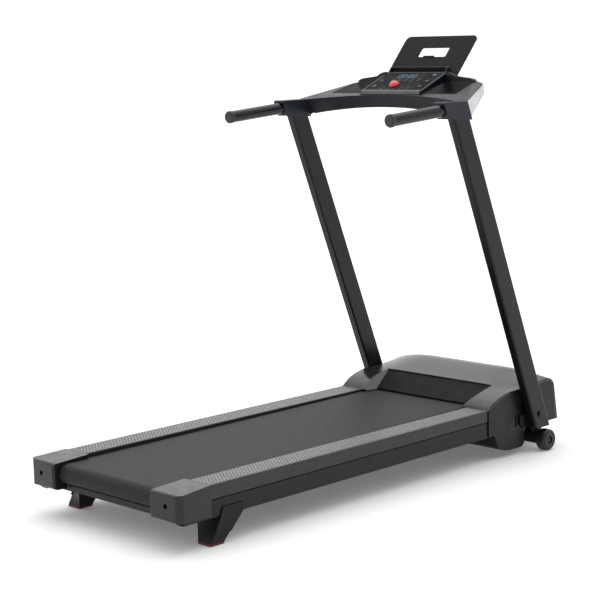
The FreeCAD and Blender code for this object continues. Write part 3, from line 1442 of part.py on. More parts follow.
def make_tablet_holder():
    """Hinged tablet rest: plate with a hand hole, a ledge and a hinge barrel."""
    face = -holder_offset
    back = face - holder_thickness
    plate = flat_box(-holder_half, holder_half, -holder_below, holder_above, back, face)
    plate = round_edges(plate, 17.0, lambda edge: edge_runs(edge, 2)
                        and edge.Vertexes[0].Point.y > 0.0)
    plate = round_edges(plate, 6.0, lambda edge: edge_runs(edge, 2)
                        and edge.Vertexes[0].Point.y < 0.0)
    hole = rounded_plate(-58.0, 58.0, 59.0, 98.0, back - 1.0, face + 1.0, 7.0)
    plate = plate.cut(hole)
    tab = flat_box(-32.0, 10.0, 57.0, 63.0, back, face + 1.5)
    ledge = flat_box(-110.0, 110.0, -7.0, 7.0, face - 1.0, 2.0)
    ledge = round_edges(ledge, 2.5, lambda edge: edge_runs(edge, 0)
                        and edge.Vertexes[0].Point.z > 0.0)
    barrel = Part.makeCylinder(hinge_barrel_radius, 220.0, Vec(-110.0, 0, 0), Vec(1, 0, 0))
    bore = Part.makeCylinder(hinge_pin_radius + running_gap, 240.0, Vec(-120.0, 0, 0),
                             Vec(1, 0, 0))
    holder = plate.fuse(tab).fuse(ledge).fuse(barrel).removeSplitter()
    return on_holder(holder.cut(bore))


def make_hinge_pin():
    """Steel pin through the holder's barrel and the two ears."""
    return rod_x(hinge_pin_radius, -120.5, 120.5, hinge_station, hinge_z)


# ================================================================ screws
def make_hood_screws():
    """Round-headed screws that hold the side covers."""
    screws = []
    for station, z in ((1282.0, 100.0), (1360.0, 60.0), (1560.0, 100.0)):
        head = rod_x(4.5, hood_half, hood_half + 0.8, station, z)
        screws.append(head)
        screws.append(mirrored(head))
    return group(screws)


# ================================================================ write all nodes
def build_all():
    """Build each node once and write it."""
    os.makedirs("parts", exist_ok=True)
    rail = make_frame_rail()
    save(rail, "right_frame_rail")
    save(mirrored(rail), "left_frame_rail")
    tubes = [make_cross_tube(station, middle_cross_bottom_z, cross_height, cross_depth)
             for station in middle_cross_stations]
    tubes.append(make_cross_tube(rear_cross_station, rear_cross_bottom_z, cross_height,
                                 cross_depth))
    tubes.append(make_cross_tube(front_cross_station, front_cross_bottom_z,
                                 front_cross_height, front_cross_depth))
    save(group(tubes), "deck_cross_tubes")
    bracket = make_roller_bracket()
    seat = make_front_roller_seat()
    post = make_front_post()
    blocks = [bracket, mirrored(bracket), seat, mirrored(seat), post, mirrored(post)]
    save(group(blocks), "frame_blocks")
    save(make_base_cross_tube(), "base_cross_tube")
    upright_bracket = make_upright_bracket()
    save(group([upright_bracket, mirrored(upright_bracket)]), "upright_brackets")
    pivot_bolt = make_pivot_bolt()
    save(group([pivot_bolt, mirrored(pivot_bolt)]), "pivot_bolts")
    wheel = make_transport_wheel()
    save(wheel, "right_transport_wheel")
    save(mirrored(wheel), "left_transport_wheel")
    wheel_bolt = make_wheel_bolt()
    save(group([wheel_bolt, mirrored(wheel_bolt)]), "wheel_axle_bolts")
    save(make_deck_board(), "deck_board")
    save(make_deck_cushions(), "deck_cushions")
    save(make_walking_belt(), "walking_belt")
    save(make_roller(rear_roller_station), "rear_roller")
    save(make_front_roller(), "front_roller")
    save(make_rear_roller_shaft(), "rear_roller_shaft")
    save(make_front_roller_shaft(), "front_roller_shaft")
    save(make_adjuster_bolts(), "roller_adjuster_bolts")
    foot_rail = make_foot_rail()
    save(foot_rail, "right_foot_rail")
    save(mirrored(foot_rail), "left_foot_rail")
    cap = make_rear_end_cap()
    save(cap, "right_rear_end_cap")
    save(mirrored(cap), "left_rear_end_cap")
    foot = make_rear_foot()
    save(foot, "right_rear_foot")
    save(mirrored(foot), "left_rear_foot")
    save(make_rear_foot_pads(), "rear_foot_pads")
    save(make_motor_hood(), "motor_hood")
    side_cover = make_hood_side_cover()
    save(side_cover, "right_hood_side_cover")
    save(mirrored(side_cover), "left_hood_side_cover")
    save(make_hood_visor(), "hood_visor")
    save(make_belly_pan(), "belly_pan")
    save(make_hood_screws(), "hood_screws")
    save(make_power_inlet(), "power_inlet")
    save(make_power_rocker(), "power_rocker")
    save(make_motor_mount(), "motor_mount")
    save(make_motor_housing(), "motor_housing")
    save(make_motor_rotor(), "motor_rotor")
    save(make_drive_belt(), "drive_belt")
    save(make_motor_controller(), "motor_controller")
    upright = make_upright()
    save(upright, "right_upright")
    save(mirrored(upright), "left_upright")
    sleeve = make_grip_sleeve()
    save(sleeve, "right_grip_sleeve")
    save(mirrored(sleeve), "left_grip_sleeve")
    handlebar = make_handlebar()
    save(handlebar, "right_handlebar")
    save(mirrored(handlebar), "left_handlebar")
    handle_cap = make_handle_end_cap()
    save(group([handle_cap, mirrored(handle_cap)]), "handle_end_caps")
    save(make_console_shell(), "console_shell")
    save(make_console_cover(), "console_cover")
    save(make_console_crossbar(), "console_crossbar")
    trim = make_side_trim()
    save(group([trim, mirrored(trim)]), "console_side_trims")
    save(make_display_housing(), "display_housing")
    save(make_display_overlay(), "display_overlay")
    save(make_display_window(), "display_window")
    save(make_display_board(), "display_board")
    names = ("stop_key", "slower_key", "start_key", "faster_key")
    for index, name in enumerate(names):
        save(make_panel_key(index), name)
    save(make_safety_key(), "safety_key")
    save(make_tablet_holder(), "tablet_holder")
    save(make_hinge_pin(), "holder_hinge_pin")


build_all()
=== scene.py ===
import math

import bpy
import bmesh
from mathutils import Matrix, Vector


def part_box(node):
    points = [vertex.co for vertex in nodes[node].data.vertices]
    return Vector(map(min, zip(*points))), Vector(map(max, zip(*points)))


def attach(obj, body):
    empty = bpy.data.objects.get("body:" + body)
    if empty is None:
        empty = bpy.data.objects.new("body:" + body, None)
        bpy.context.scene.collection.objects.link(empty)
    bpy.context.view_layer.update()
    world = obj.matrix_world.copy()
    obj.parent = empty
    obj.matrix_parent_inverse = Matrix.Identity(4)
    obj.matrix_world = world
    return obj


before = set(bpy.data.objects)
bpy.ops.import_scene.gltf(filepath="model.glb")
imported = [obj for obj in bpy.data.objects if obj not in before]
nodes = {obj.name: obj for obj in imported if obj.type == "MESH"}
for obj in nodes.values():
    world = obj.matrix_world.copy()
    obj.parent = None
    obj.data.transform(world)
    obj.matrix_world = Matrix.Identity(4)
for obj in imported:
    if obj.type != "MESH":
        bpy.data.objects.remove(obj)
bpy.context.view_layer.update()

MM = 0.001                  # millimetres to metres
HALF_LENGTH = 820.0         # CAD stations run from the rear, the frame's y from the middle


# ------------------------------------------------------------------ material tools
class Graph:
    """A small helper for building one procedural material."""

    def __init__(self, name):
        self.material = bpy.data.materials.new(name)
        self.material.use_nodes = True
        self.tree = self.material.node_tree
        self.tree.nodes.clear()
        self.output = self.tree.nodes.new("ShaderNodeOutputMaterial")
        self.shader = self.tree.nodes.new("ShaderNodeBsdfPrincipled")
        self.link(self.shader.outputs[0], self.output.inputs[0])
        self.coordinates = self.tree.nodes.new("ShaderNodeTexCoord").outputs["Object"]

    def link(self, out_socket, in_socket):
        self.tree.links.new(out_socket, in_socket)

    def node(self, kind, **settings):
        made = self.tree.nodes.new(kind)
        for key, value in settings.items():
            setattr(made, key, value)
        return made

    def noise(self, scale, detail=2.0, rough=0.5, vector=None):
        made = self.node("ShaderNodeTexNoise")
        made.inputs["Scale"].default_value = scale
        made.inputs["Detail"].default_value = detail
        made.inputs["Roughness"].default_value = rough
        self.link(vector or self.coordinates, made.inputs["Vector"])
        return made.outputs["Fac"]

    def stretched(self, x, y, z):
        made = self.node("ShaderNodeMapping")
        made.inputs["Scale"].default_value = (x, y, z)
        self.link(self.coordinates, made.inputs["Vector"])
        return made.outputs["Vector"]

    def span(self, value, low, high, out_low, out_high):
        made = self.node("ShaderNodeMapRange")
        made.inputs["From Min"].default_value = low
        made.inputs["From Max"].default_value = high
        made.inputs["To Min"].default_value = out_low
        made.inputs["To Max"].default_value = out_high
        self.link(value, made.inputs["Value"])
        return made.outputs["Result"]

    def spread(self, noise, out_low, out_high):
        """Stretch the values that a noise mostly takes over a chosen range."""
        return self.span(noise, 0.3, 0.7, out_low, out_high)

    def math(self, operation, a, b=None):
        made = self.node("ShaderNodeMath", operation=operation)
        for socket, value in zip(made.inputs, (a, b)):
            if value is None:
                continue
            if isinstance(value, (int, float)):
                socket.default_value = value
            else:
                self.link(value, socket)
        return made.outputs[0]

    def mix(self, factor, first, second):
        made = self.node("ShaderNodeMix", data_type="RGBA")
        self.link(factor, made.inputs["Factor"])
        for socket, value in ((made.inputs[6], first), (made.inputs[7], second)):
            if isinstance(value, tuple):
                socket.default_value = value + (1.0,)
            else:
                self.link(value, socket)
        return made.outputs[2]

    def bump(self, height, strength, distance, normal=None):
        made = self.node("ShaderNodeBump")
        made.inputs["Strength"].default_value = strength
        made.inputs["Distance"].default_value = distance
        self.link(height, made.inputs["Height"])
        if normal is not None:
            self.link(normal, made.inputs["Normal"])
        return made.outputs["Normal"]

    def soft_edges(self, radius):
        made = self.node("ShaderNodeBevel")
        made.samples = 4
        made.inputs["Radius"].default_value = radius
        return made.outputs["Normal"]

    def worn_edges(self, radius, tone, light, amount):
        """Rub the outer corners lighter, broken up by noise."""
        soft = self.soft_edges(radius)
        flat = self.node("ShaderNodeNewGeometry").outputs["Normal"]
        both = self.node("ShaderNodeVectorMath", operation="DOT_PRODUCT")
        self.link(soft, both.inputs[0])
        self.link(flat, both.inputs[1])
        corner = self.span(both.outputs["Value"], 0.80, 0.985, amount, 0.0)
        patchy = self.span(self.noise(38.0, 3.0), 0.35, 0.65, 0.35, 1.0)
        return self.mix(self.math("MULTIPLY", corner, patchy), tone, light), soft

    def finish(self, colour, roughness, normal, metallic=0.0, specular=0.5, coat=0.0):
        self.link(colour, self.shader.inputs["Base Color"])
        self.link(roughness, self.shader.inputs["Roughness"])
        self.link(normal, self.shader.inputs["Normal"])
        self.shader.inputs["Metallic"].default_value = metallic
        self.shader.inputs["Specular IOR Level"].default_value = specular
        self.shader.inputs["Coat Weight"].default_value = coat
        self.shader.inputs["Coat Roughness"].default_value = 0.2
        return self.material


def scaled(colour, factor):
    return tuple(min(1.0, c * factor) for c in colour)


def plastic(name, colour, rough, grain=1500.0, depth=0.00008, edge=0.0008, specular=0.5,
            coat=0.0, mottle=0.06, wear=0.35):
    """Moulded plastic: fine spark-eroded grain, faint cloudiness and a few rubbed patches.

    Grain is a noise scale, depth and edge are metres, mottle and wear are strengths.
    """
    g = Graph(name)
    cloud = g.noise(14.0, 3.0)
    tone = g.mix(g.spread(cloud, 0.0, 1.0), scaled(colour, 1.0 - mottle),
                 scaled(colour, 1.0 + mottle))
    rub = g.span(g.noise(55.0, 4.0, 0.65), 0.60, 0.78, 0.0, 0.25)
    tone = g.mix(rub, tone, scaled(colour, 1.18))
    tone, soft = g.worn_edges(edge, tone, scaled(colour, 1.9), wear)
    roughness = g.spread(g.noise(30.0, 3.0), rough - 0.05, rough + 0.06)
    fine = g.noise(grain, 2.0)
    normal = g.bump(fine, 0.5, depth, soft)
    return g.finish(tone, roughness, normal, specular=specular, coat=coat)


def powder_coat(name, colour, rough=0.38):
    """Powder-coated steel: slight orange peel over a satin colour."""
    g = Graph(name)
    cloud = g.noise(9.0, 2.0)
    tone = g.mix(g.spread(cloud, 0.0, 1.0), scaled(colour, 0.88), scaled(colour, 1.12))
    speck = g.span(g.noise(700.0, 1.0), 0.66, 0.8, 0.0, 0.3)
    tone = g.mix(speck, tone, scaled(colour, 1.6))
    roughness = g.spread(g.noise(40.0, 2.0), rough - 0.04, rough + 0.05)
    tone, soft = g.worn_edges(0.0012, tone, scaled(colour, 3.0), 0.5)
    peel = g.noise(420.0, 1.0)
    normal = g.bump(peel, 0.4, 0.00006, soft)
    return g.finish(tone, roughness, normal, specular=0.28)


def steel(name, colour, rough=0.3, along=(1.0, 400.0, 400.0)):
    """Turned or brushed steel with fine lines."""
    g = Graph(name)
    lines = g.noise(3.0, 2.0, 0.6, g.stretched(*along))
    tone = g.mix(g.spread(lines, 0.0, 1.0), scaled(colour, 0.8), scaled(colour, 1.1))
    roughness = g.spread(lines, rough - 0.06, rough + 0.1)
    normal = g.bump(lines, 0.3, 0.00003, g.soft_edges(0.0005))
    return g.finish(tone, roughness, normal, metallic=1.0)


def rubber(name, colour, rough=0.75):
    """Moulded rubber with a dusty, slightly rough skin."""
    g = Graph(name)
    dust = g.span(g.noise(90.0, 4.0, 0.6), 0.4, 0.75, 0.0, 0.5)
    tone = g.mix(dust, scaled(colour, 0.85), scaled(colour, 1.35))
    roughness = g.spread(g.noise(60.0, 2.0), rough - 0.08, rough + 0.08)
    normal = g.bump(g.noise(900.0, 2.0), 0.6, 0.00012, g.soft_edges(0.0008))
    return g.finish(tone, roughness, normal)


def diagonal_lines(g, spacing, sign):
    """0..1 ridges that cross the belt diagonally, on its top and round its rear bend."""
    split = g.node("ShaderNodeSeparateXYZ")
    g.link(g.coordinates, split.inputs[0])
    across = g.math("MULTIPLY", split.outputs["X"], sign)
    along = g.math("ADD", split.outputs["Y"], split.outputs["Z"])
    total = g.math("ADD", across, along)
    wave = g.math("SINE", g.math("MULTIPLY", total, 2.0 * math.pi / spacing))
    return g.span(wave, -1.0, 1.0, 0.0, 1.0)


def belt_material():
    """Running belt: diamond texture in dark grey with faint lengthwise wear."""
    g = Graph("running_belt")
    spacing = 0.0090
    diamond = g.math("MULTIPLY", diagonal_lines(g, spacing, 1.0),
                     diagonal_lines(g, spacing, -1.0))
    colour = (0.0200, 0.0208, 0.0236)
    tone = g.mix(g.span(diamond, 0.05, 0.6, 0.0, 1.0), scaled(colour, 0.35), scaled(colour, 1.9))
    worn = g.spread(g.noise(4.0, 2.0, 0.5, g.stretched(1.0, 0.25, 1.0)), 0.0, 0.25)
    tone = g.mix(worn, tone, scaled(colour, 1.08))
    roughness = g.spread(g.noise(160.0, 2.0), 0.54, 0.60)
    height = g.math("ADD", diamond, g.math("MULTIPLY", g.noise(900.0, 2.0), 0.25))
    normal = g.bump(height, 0.7, 0.0004)
    return g.finish(tone, roughness, normal, specular=0.20)


def rail_material():
    """Foot rail: ribbed grey plastic on top, darker moulded skirt at the side."""
    g = Graph("foot_rail_grey")
    rib_pitch = 0.0042
    face = g.node("ShaderNodeNewGeometry")
    split = g.node("ShaderNodeSeparateXYZ")
    g.link(face.outputs["True Normal"], split.inputs[0])
    top = g.span(split.outputs["Z"], 0.9, 0.99, 0.0, 1.0)
    ribs = g.node("ShaderNodeSeparateXYZ")
    g.link(g.coordinates, ribs.inputs[0])
    wave = g.math("SINE", g.math("MULTIPLY", ribs.outputs["X"], 2.0 * math.pi / rib_pitch))
    rib = g.math("MULTIPLY", g.span(wave, -1.0, 1.0, 0.0, 1.0), top)
    dust = g.span(g.noise(45.0, 4.0, 0.6), 0.35, 0.7, 0.0, 0.5)
    tone = g.mix(rib, (0.030, 0.0305, 0.033), (0.060, 0.061, 0.065))
    tone = g.mix(dust, tone, (0.048, 0.049, 0.052))
    tone = g.mix(top, (0.0100, 0.0100, 0.0115), tone)
    tone, soft = g.worn_edges(0.0015, tone, (0.22, 0.22, 0.23), 0.5)
    roughness = g.spread(g.noise(40.0, 3.0), 0.36, 0.48)
    normal = g.bump(rib, 0.5, 0.0003, soft)
    return g.finish(tone, roughness, normal)


def display_ink(name, colour, strength):
    """Lit or printed mark with a slightly uneven ink film. Strength is how much it glows."""
    g = Graph(name)
    film = g.spread(g.noise(900.0, 2.0), 0.0, 1.0)
    tone = g.mix(film, scaled(colour, 0.85), scaled(colour, 1.1))
    g.link(tone, g.shader.inputs["Emission Color"])
    g.shader.inputs["Emission Strength"].default_value = strength
    roughness = g.spread(g.noise(300.0), 0.25, 0.35)
    return g.finish(tone, roughness, g.bump(film, 0.2, 0.00001))


materials = {
    "frame": powder_coat("frame_black", (0.0042, 0.0042, 0.0052), 0.36),
    "upright": powder_coat("upright_black", (0.0050, 0.0050, 0.0058), 0.30),
    "steel": steel("turned_steel", (0.45, 0.46, 0.48)),
    "dark_steel": steel("black_steel", (0.05, 0.05, 0.055), 0.35),
    "black_bolt": plastic("blackened_bolt", (0.0012, 0.0012, 0.0013), 0.6, grain=600.0,
                          specular=0.05, wear=0.1),
    "belt": belt_material(),
    "board": plastic("waxed_board", (0.008, 0.008, 0.008), 0.45, grain=600.0),
    "cushion": rubber("black_rubber", (0.015, 0.015, 0.015)),
    "rail": rail_material(),
    "tread": plastic("rail_tread_grey", (0.44, 0.445, 0.455), 0.28, grain=1800.0, depth=0.00004),
    "cap": plastic("cap_grey", (0.0110, 0.0112, 0.0120), 0.27, specular=0.36),
    "foot": plastic("foot_black", (0.0025, 0.0025, 0.0027), 0.45, specular=0.28),
    "pad": rubber("pad_red", (0.13, 0.012, 0.010), 0.6),
    "hood": plastic("hood_grey", (0.0115, 0.0124, 0.0130), 0.20, specular=0.60),
    "cover": plastic("cover_black", (0.0050, 0.0050, 0.0056), 0.38, specular=0.30),
    "visor": plastic("visor_black", (0.0030, 0.0030, 0.0033), 0.55, specular=0.12),
    "sleeve": plastic("sleeve_blue_grey", (0.0125, 0.0145, 0.0235), 0.30, specular=0.28),
    "grip": plastic("grip_blue_grey", (0.0045, 0.0050, 0.0085), 0.13, grain=2200.0, depth=0.00002,
                    specular=0.30),
    "grip_cap": plastic("grip_cap_grey", (0.022, 0.0235, 0.026), 0.50, grain=420.0, depth=0.00035),
    "console": plastic("console_grey", (0.0088, 0.0096, 0.0140), 0.34, specular=0.27,
                       wear=0.12),
    "silver": plastic("silver_trim", (0.50, 0.51, 0.52), 0.28, grain=1800.0, depth=0.00002,
                      wear=0.1),
    "panel": plastic("panel_black", (0.0012, 0.0012, 0.0020), 0.50, grain=2500.0, depth=0.00001,
                     specular=0.05),
    "holder": plastic("holder_black", (0.0048, 0.0048, 0.0050), 0.46, specular=0.14),
    "red": plastic("key_red", (0.92, 0.085, 0.080), 0.20, grain=1800.0, depth=0.00002, coat=0.4),
    "wheel": plastic("wheel_black", (0.0040, 0.0040, 0.0045), 0.45, grain=900.0),
    "motor": steel("cast_metal", (0.30, 0.30, 0.32), 0.45, along=(60.0, 60.0, 60.0)),
    "board_green": plastic("laminate_green", (0.012, 0.07, 0.03), 0.4),
    "lens": plastic("lens_dark", (0.0010, 0.0022, 0.0042), 0.40, grain=2500.0, depth=0.00001,
                    specular=0.05),
    "trim_grey": plastic("panel_trim_grey", (0.085, 0.086, 0.090), 0.32),
    "ink_blue": display_ink("display_blue", (0.003, 0.12, 0.22), 0.7),
    "ink_red": display_ink("print_red", (0.14, 0.009, 0.009), 0.0),
    "ink_green": display_ink("print_green", (0.006, 0.060, 0.020), 0.0),
    "ink_white": display_ink("print_white", (0.060, 0.064, 0.072), 0.0),
}

choice = {
    "left_frame_rail": "frame", "right_frame_rail": "frame", "deck_cross_tubes": "frame",
    "frame_blocks": "frame", "base_cross_tube": "frame", "upright_brackets": "frame",
    "motor_mount": "frame", "console_crossbar": "frame",
    "left_upright": "upright", "right_upright": "upright",
    "rear_roller": "steel", "front_roller": "steel", "rear_roller_shaft": "steel",
    "front_roller_shaft": "steel", "holder_hinge_pin": "steel",
    "roller_adjuster_bolts": "black_bolt", "pivot_bolts": "dark_steel",
    "wheel_axle_bolts": "dark_steel", "hood_screws": "dark_steel",
    "walking_belt": "belt", "deck_board": "board", "deck_cushions": "cushion",
    "left_foot_rail": "rail", "right_foot_rail": "rail",
    "left_rear_end_cap": "cap", "right_rear_end_cap": "cap",
    "left_rear_foot": "foot", "right_rear_foot": "foot", "rear_foot_pads": "pad",
    "motor_hood": "hood", "left_hood_side_cover": "cover", "right_hood_side_cover": "cover",
    "hood_visor": "visor", "belly_pan": "foot", "power_inlet": "cover",
    "power_rocker": "red", "drive_belt": "cushion", "motor_housing": "motor",
    "motor_rotor": "motor", "motor_controller": "board_green",
    "left_grip_sleeve": "sleeve", "right_grip_sleeve": "sleeve",
    "left_handlebar": "grip", "right_handlebar": "grip", "handle_end_caps": "grip_cap",
    "console_shell": "console", "console_cover": "console", "console_side_trims": "silver",
    "display_housing": "console", "display_overlay": "panel", "display_window": "lens",
    "display_board": "board_green", "stop_key": "panel", "slower_key": "panel",
    "start_key": "panel", "faster_key": "panel", "safety_key": "red",
    "tablet_holder": "holder",
    "left_transport_wheel": "wheel", "right_transport_wheel": "wheel",
}
for node_name, node_object in nodes.items():
    node_object.data.materials.clear()
    node_object.data.materials.append(materials[choice[node_name]])


# ------------------------------------------------------------------ detail pieces
def plate_mesh(bm, points, low, high, place):
    """Add one flat raised plate: an outline in millimetres extruded from low to high."""
    rings = []
    for z in (low, high):
        rings.append([bm.verts.new(place @ (Vector((x, y, z)) * MM)) for x, y in points])
    bm.faces.new(list(reversed(rings[0])))
    bm.faces.new(rings[1])
    count = len(points)
    for i in range(count):
        j = (i + 1) % count
        bm.faces.new((rings[0][i], rings[0][j], rings[1][j], rings[1][i]))


def rounded_outline(x0, x1, y0, y1, radius, steps=4):
    """Outline of a rectangle with round corners, anticlockwise."""
    points = []
    for cx, cy, first in ((x1 - radius, y1 - radius, 0.0), (x0 + radius, y1 - radius, 90.0),
                          (x0 + radius, y0 + radius, 180.0), (x1 - radius, y0 + radius, 270.0)):
        for i in range(steps + 1):
            angle = math.radians(first + 90.0 * i / steps)
            points.append((cx + radius * math.cos(angle), cy + radius * math.sin(angle)))
    return points


def add_piece(name, bm, material, body):
    """Turn a mesh into a named piece that moves with one body."""
    mesh = bpy.data.meshes.new(name)
    bmesh.ops.recalc_face_normals(bm, faces=bm.faces)
    bm.to_mesh(mesh)
    bm.free()
    piece = bpy.data.objects.new(name, mesh)
    bpy.context.scene.collection.objects.link(piece)
    mesh.materials.append(materials[material])
    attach(piece, body)


# The panel's own frame: its origin in metres, and the degrees it slopes up to the front.
PANEL_ORIGIN = (0.0, 0.368, 1.1415)
PANEL_SLOPE = 22.8
panel_place = (Matrix.Translation(PANEL_ORIGIN)
               @ Matrix.Rotation(math.radians(PANEL_SLOPE), 4, "X"))


def print_marks(name, outlines, low, high, material, body):
    """Raised print on the panel, drawn in panel millimetres."""
    bm = bmesh.new()
    for outline in outlines:
        plate_mesh(bm, outline, low, high, panel_place)
    add_piece(name, bm, material, body)


def zero_digit(x, y, width, height):
    """Outlines of the six lit bars of a seven-bar zero."""
    bar = 1.9
    half = height / 2.0
    bars = (
        (x + bar, x + width - bar, y + height - bar, y + height),
        (x + width - bar, x + width, y + half + 0.4, y + height - 0.6),
        (x + width - bar, x + width, y + 0.6, y + half - 0.4),
        (x + bar, x + width - bar, y, y + bar),
        (x, x + bar, y + 0.6, y + half - 0.4),
        (x, x + bar, y + half + 0.4, y + height - 0.6),
    )
    return [rounded_outline(*sides, 0.5, 2) for sides in bars]


# Outlines on the panel are in millimetres from its origin: x to the right, y up the slope.
digits = []
for digit_x in (-50.0, -33.0, -8.0, 9.0):
    digits += zero_digit(digit_x, y=96.5, width=12.5, height=20.0)
for dot_y in (101.0, 109.0):
    digits.append(rounded_outline(-15.0, -12.6, dot_y, dot_y + 2.4, 1.0, 3))
print_marks("display_digits", digits, 0.25, 0.37, "ink_blue", "uprights")

# Short printed dashes in place of words, and a line below and above the readout.
dash_rows = {14.0: (-52.0, -26.0, 0.0, 26.0, 52.0), 27.0: (-52.0, 0.0, 26.0, 52.0),
             74.0: (-52.0, -26.0, 0.0, 26.0, 52.0), 83.0: (-52.0, -26.0, 0.0, 26.0, 52.0)}
labels = []
for row_y, centres in dash_rows.items():
    for centre in centres:
        labels.append(rounded_outline(centre - 7.0, centre + 7.0, row_y, row_y + 1.6, 0.7, 2))
for line_y in (89.6, 121.7):
    labels.append(rounded_outline(-56.5, 56.5, line_y, line_y + 0.7, 0.3, 2))
print_marks("panel_labels", labels, 0.35, 0.45, "ink_white", "uprights")
print_marks("panel_badge", [rounded_outline(82.0, 94.0, 111.5, 122.5, 3.0)], 0.35, 0.46,
            "ink_blue", "uprights")
print_marks("panel_badge_mark", [rounded_outline(85.5, 90.5, 114.5, 119.5, 1.5)], 0.42, 0.50,
            "ink_white", "uprights")


def key_symbol(shape, x, y):
    """Outline of one generic key symbol about the middle of its key."""
    if shape == "bar":
        return rounded_outline(x - 5.0, x + 5.0, y - 3.6, y + 6.4, 1.0)
    corners = {
        "down": ((-6.5, 4.5), (0.0, -4.0), (6.5, 4.5)),
        "up": ((-6.5, -3.0), (6.5, -3.0), (0.0, 5.5)),
        "play": ((-4.5, -4.5), (6.0, 1.0), (-4.5, 6.5)),
    }
    return [(x + dx, y + dy) for dx, dy in corners[shape]]


def key_marks(body, x, y, shape, material):
    """A symbol with a line under it, printed on top of one key."""
    outlines = [rounded_outline(x - 9.5, x + 9.5, y - 7.4, y - 6.2, 0.5, 2),
                key_symbol(shape, x, y)]
    print_marks(body + "_mark", outlines, 0.75, 0.85, material, body)


def panel_centre(node):
    """Middle of a node in panel millimetres."""
    low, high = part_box(node)
    middle = panel_place.inverted() @ ((Vector(low) + Vector(high)) * 0.5)
    return middle.x / MM, middle.y / MM


for key_name, shape, ink in (("stop_key", "bar", "ink_red"), ("slower_key", "down", "ink_red"),
                             ("start_key", "play", "ink_green"),
                             ("faster_key", "up", "ink_green")):
    key_x, key_y = panel_centre(key_name)
    key_marks(key_name, key_x, key_y, shape, ink)

# Grey strip along the panel's near edge: a profile of (station, height) carried across x.
TRIM_HALF_WIDTH = 122.0
near_trim = [(1182.2, 1132.0), (1183.2, 1131.9), (1188.2, 1141.4), (1192.3, 1143.1),
             (1192.3, 1144.5), (1188.4, 1143.1), (1187.3, 1142.4), (1186.7, 1141.5)]
strip = bmesh.new()
ends = [[strip.verts.new(Vector((x, station - HALF_LENGTH, z)) * MM)
         for station, z in near_trim] for x in (-TRIM_HALF_WIDTH, TRIM_HALF_WIDTH)]
strip.faces.new(ends[0])
strip.faces.new(list(reversed(ends[1])))
for i in range(len(near_trim)):
    j = (i + 1) % len(near_trim)
    strip.faces.new((ends[0][j], ends[0][i], ends[1][i], ends[1][j]))
add_piece("panel_near_trim", strip, "trim_grey", "uprights")

# Studded tread of the foot rails, in millimetres.
RAIL_FIRST, RAIL_LAST = 124.4, 1265.6          # stations of the foot rail's two ends
RAIL_REAR_TOP, RAIL_FALL = 167.0, 4.5          # its top at the rear, and the fall to the front
TREAD_FIRST, TREAD_LAST = 132.0, 1258.0        # stations of the studded stretch
TREAD_INNER, TREAD_ROWS = 231.0, 9             # the first row's distance from the middle
ROW_PITCH, STEP = 8.0, 11.0                    # spacing across and along
STUD_HALF_LENGTH, STUD_SINK, STUD_HEIGHT = 4.3, 0.1, 0.7
STUD_PLUS_X, STUD_MINUS_X = 0.62, 0.6          # half widths, as shares of the half length
STUD_TAPER = 0.55                              # the flat top's size, as a share of the foot's


def add_stud(bm, x, y, top):
    """Add one low diamond stud with a smaller flat top, in millimetres."""
    outline = [(x + STUD_HALF_LENGTH * STUD_PLUS_X, y), (x, y + STUD_HALF_LENGTH),
               (x - STUD_HALF_LENGTH * STUD_MINUS_X, y), (x, y - STUD_HALF_LENGTH)]
    low_ring = [bm.verts.new(Vector((px, py, top - STUD_SINK)) * MM) for px, py in outline]
    high_ring = [bm.verts.new(Vector((x + (px - x) * STUD_TAPER, y + (py - y) * STUD_TAPER,
                                      top + STUD_HEIGHT)) * MM) for px, py in outline]
    bm.faces.new(high_ring)
    bm.faces.new(list(reversed(low_ring)))
    for i in range(4):
        j = (i + 1) % 4
        bm.faces.new((low_ring[i], low_ring[j], high_ring[j], high_ring[i]))


for side, side_name in ((1.0, "right"), (-1.0, "left")):
    studs = bmesh.new()
    for row in range(TREAD_ROWS):
        for step in range(int((TREAD_LAST - TREAD_FIRST) / STEP)):
            station = TREAD_FIRST + STEP * step + (STEP / 2.0 if row % 2 else 0.0)
            fallen = RAIL_FALL * (station - RAIL_FIRST) / (RAIL_LAST - RAIL_FIRST)
            add_stud(studs, side * (TREAD_INNER + row * ROW_PITCH), station - HALF_LENGTH,
                     RAIL_REAR_TOP - fallen)
    add_piece(side_name + "_rail_tread", studs, "tread", "base")

# ------------------------------------------------------------------ camera
CAMERA_PLACE = (3.5608, -3.5386, 1.3280)
CAMERA_YAW, CAMERA_PITCH, CAMERA_ROLL = 45.553, 8.937, -1.6
camera_data = bpy.data.cameras.new("camera")
camera_data.lens = 102.16
camera_data.sensor_width = 36.0
camera = bpy.data.objects.new("camera", camera_data)
bpy.context.scene.collection.objects.link(camera)
yaw = math.radians(CAMERA_YAW)
pitch = math.radians(CAMERA_PITCH)
roll = math.radians(CAMERA_ROLL)
back = Vector((math.sin(yaw) * math.cos(pitch), -math.cos(yaw) * math.cos(pitch),
               math.sin(pitch)))
right = Vector((math.cos(yaw), math.sin(yaw), 0.0))
up = back.cross(right)
right_rolled = right * math.cos(roll) + up * math.sin(roll)
up_rolled = up * math.cos(roll) - right * math.sin(roll)
turn = Matrix((right_rolled, up_rolled, back)).transposed().to_4x4()
camera.matrix_world = Matrix.Translation(CAMERA_PLACE) @ turn
bpy.context.scene.camera = camera

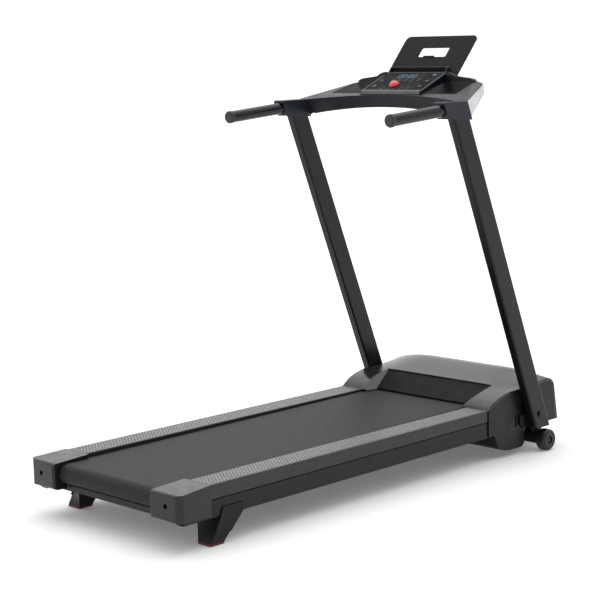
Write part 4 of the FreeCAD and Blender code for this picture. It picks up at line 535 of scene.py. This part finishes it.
# ------------------------------------------------------------------ floor, light
floor_mesh = bpy.data.meshes.new("floor")
FLOOR_REACH = 60.0          # its far edge still shows in views from very low down
FLOOR_GLOW = 0.14           # lightens the shadow under the machine
floor_corners = [(x * FLOOR_REACH, y * FLOOR_REACH, 0)
                 for x, y in ((-1, -1), (1, -1), (1, 1), (-1, 1))]
floor_mesh.from_pydata(floor_corners, [], [(0, 1, 2, 3)])
floor = bpy.data.objects.new("floor", floor_mesh)
bpy.context.scene.collection.objects.link(floor)
g = Graph("floor_white")
floor_tone = g.mix(g.noise(3.0, 2.0), (0.91, 0.91, 0.91), (0.93, 0.93, 0.93))
g.shader.inputs["Emission Color"].default_value = (1.0, 1.0, 1.0, 1.0)
g.shader.inputs["Emission Strength"].default_value = FLOOR_GLOW
floor.data.materials.append(g.finish(floor_tone, g.spread(g.noise(8.0), 0.75, 0.85),
                                     g.bump(g.noise(200.0), 0.1, 0.0001), specular=0.1))

# A white studio that is brighter from the front left above than from the rear right.
BRIGHT_SIDE = (-0.60, 0.60, 0.53)
DIM, BRIGHT = 0.20, 1.15
world = bpy.data.worlds.new("studio")
world.use_nodes = True
bpy.context.scene.world = world
world_nodes = world.node_tree.nodes
world_links = world.node_tree.links
direction = world_nodes.new("ShaderNodeTexCoord").outputs["Generated"]
facing = world_nodes.new("ShaderNodeVectorMath")
facing.operation = "DOT_PRODUCT"
facing.inputs[1].default_value = BRIGHT_SIDE
world_links.new(direction, facing.inputs[0])
fade = world_nodes.new("ShaderNodeMapRange")
fade.interpolation_type = "SMOOTHSTEP"
fade.inputs["From Min"].default_value = -0.55
fade.inputs["From Max"].default_value = 0.45
fade.inputs["To Min"].default_value = DIM
fade.inputs["To Max"].default_value = BRIGHT
world_links.new(facing.outputs["Value"], fade.inputs["Value"])
world_links.new(fade.outputs["Result"], world_nodes["Background"].inputs["Strength"])
world_nodes["Background"].inputs["Color"].default_value = (1.0, 1.0, 1.0, 1.0)


def add_light(name, kind, power, aim):
    """Make one lamp that shines along a direction."""
    light = bpy.data.objects.new(name, bpy.data.lights.new(name, kind))
    light.data.energy = power
    light.rotation_euler = aim.to_track_quat("-Z", "Y").to_euler()
    bpy.context.scene.collection.objects.link(light)
    return light


# A weak fill at the front left, which is behind the machine as the camera sees it.
FILL_PLACE, FILL_TARGET = Vector((-4.0, 3.0, 2.5)), Vector((0.0, 0.3, 0.5))
fill = add_light("rear_fill", "AREA", 6.0, FILL_TARGET - FILL_PLACE)
fill.location = FILL_PLACE
fill.data.shape = "RECTANGLE"
fill.data.size = 2.5
fill.data.size_y = 2.5
sun = add_light("overhead", "SUN", 0.85, Vector((0.15, -0.25, -1.0)))
sun.data.angle = math.radians(70.0)             # very wide, so that its shadow is soft
bpy.context.scene.view_settings.view_transform = "Standard"
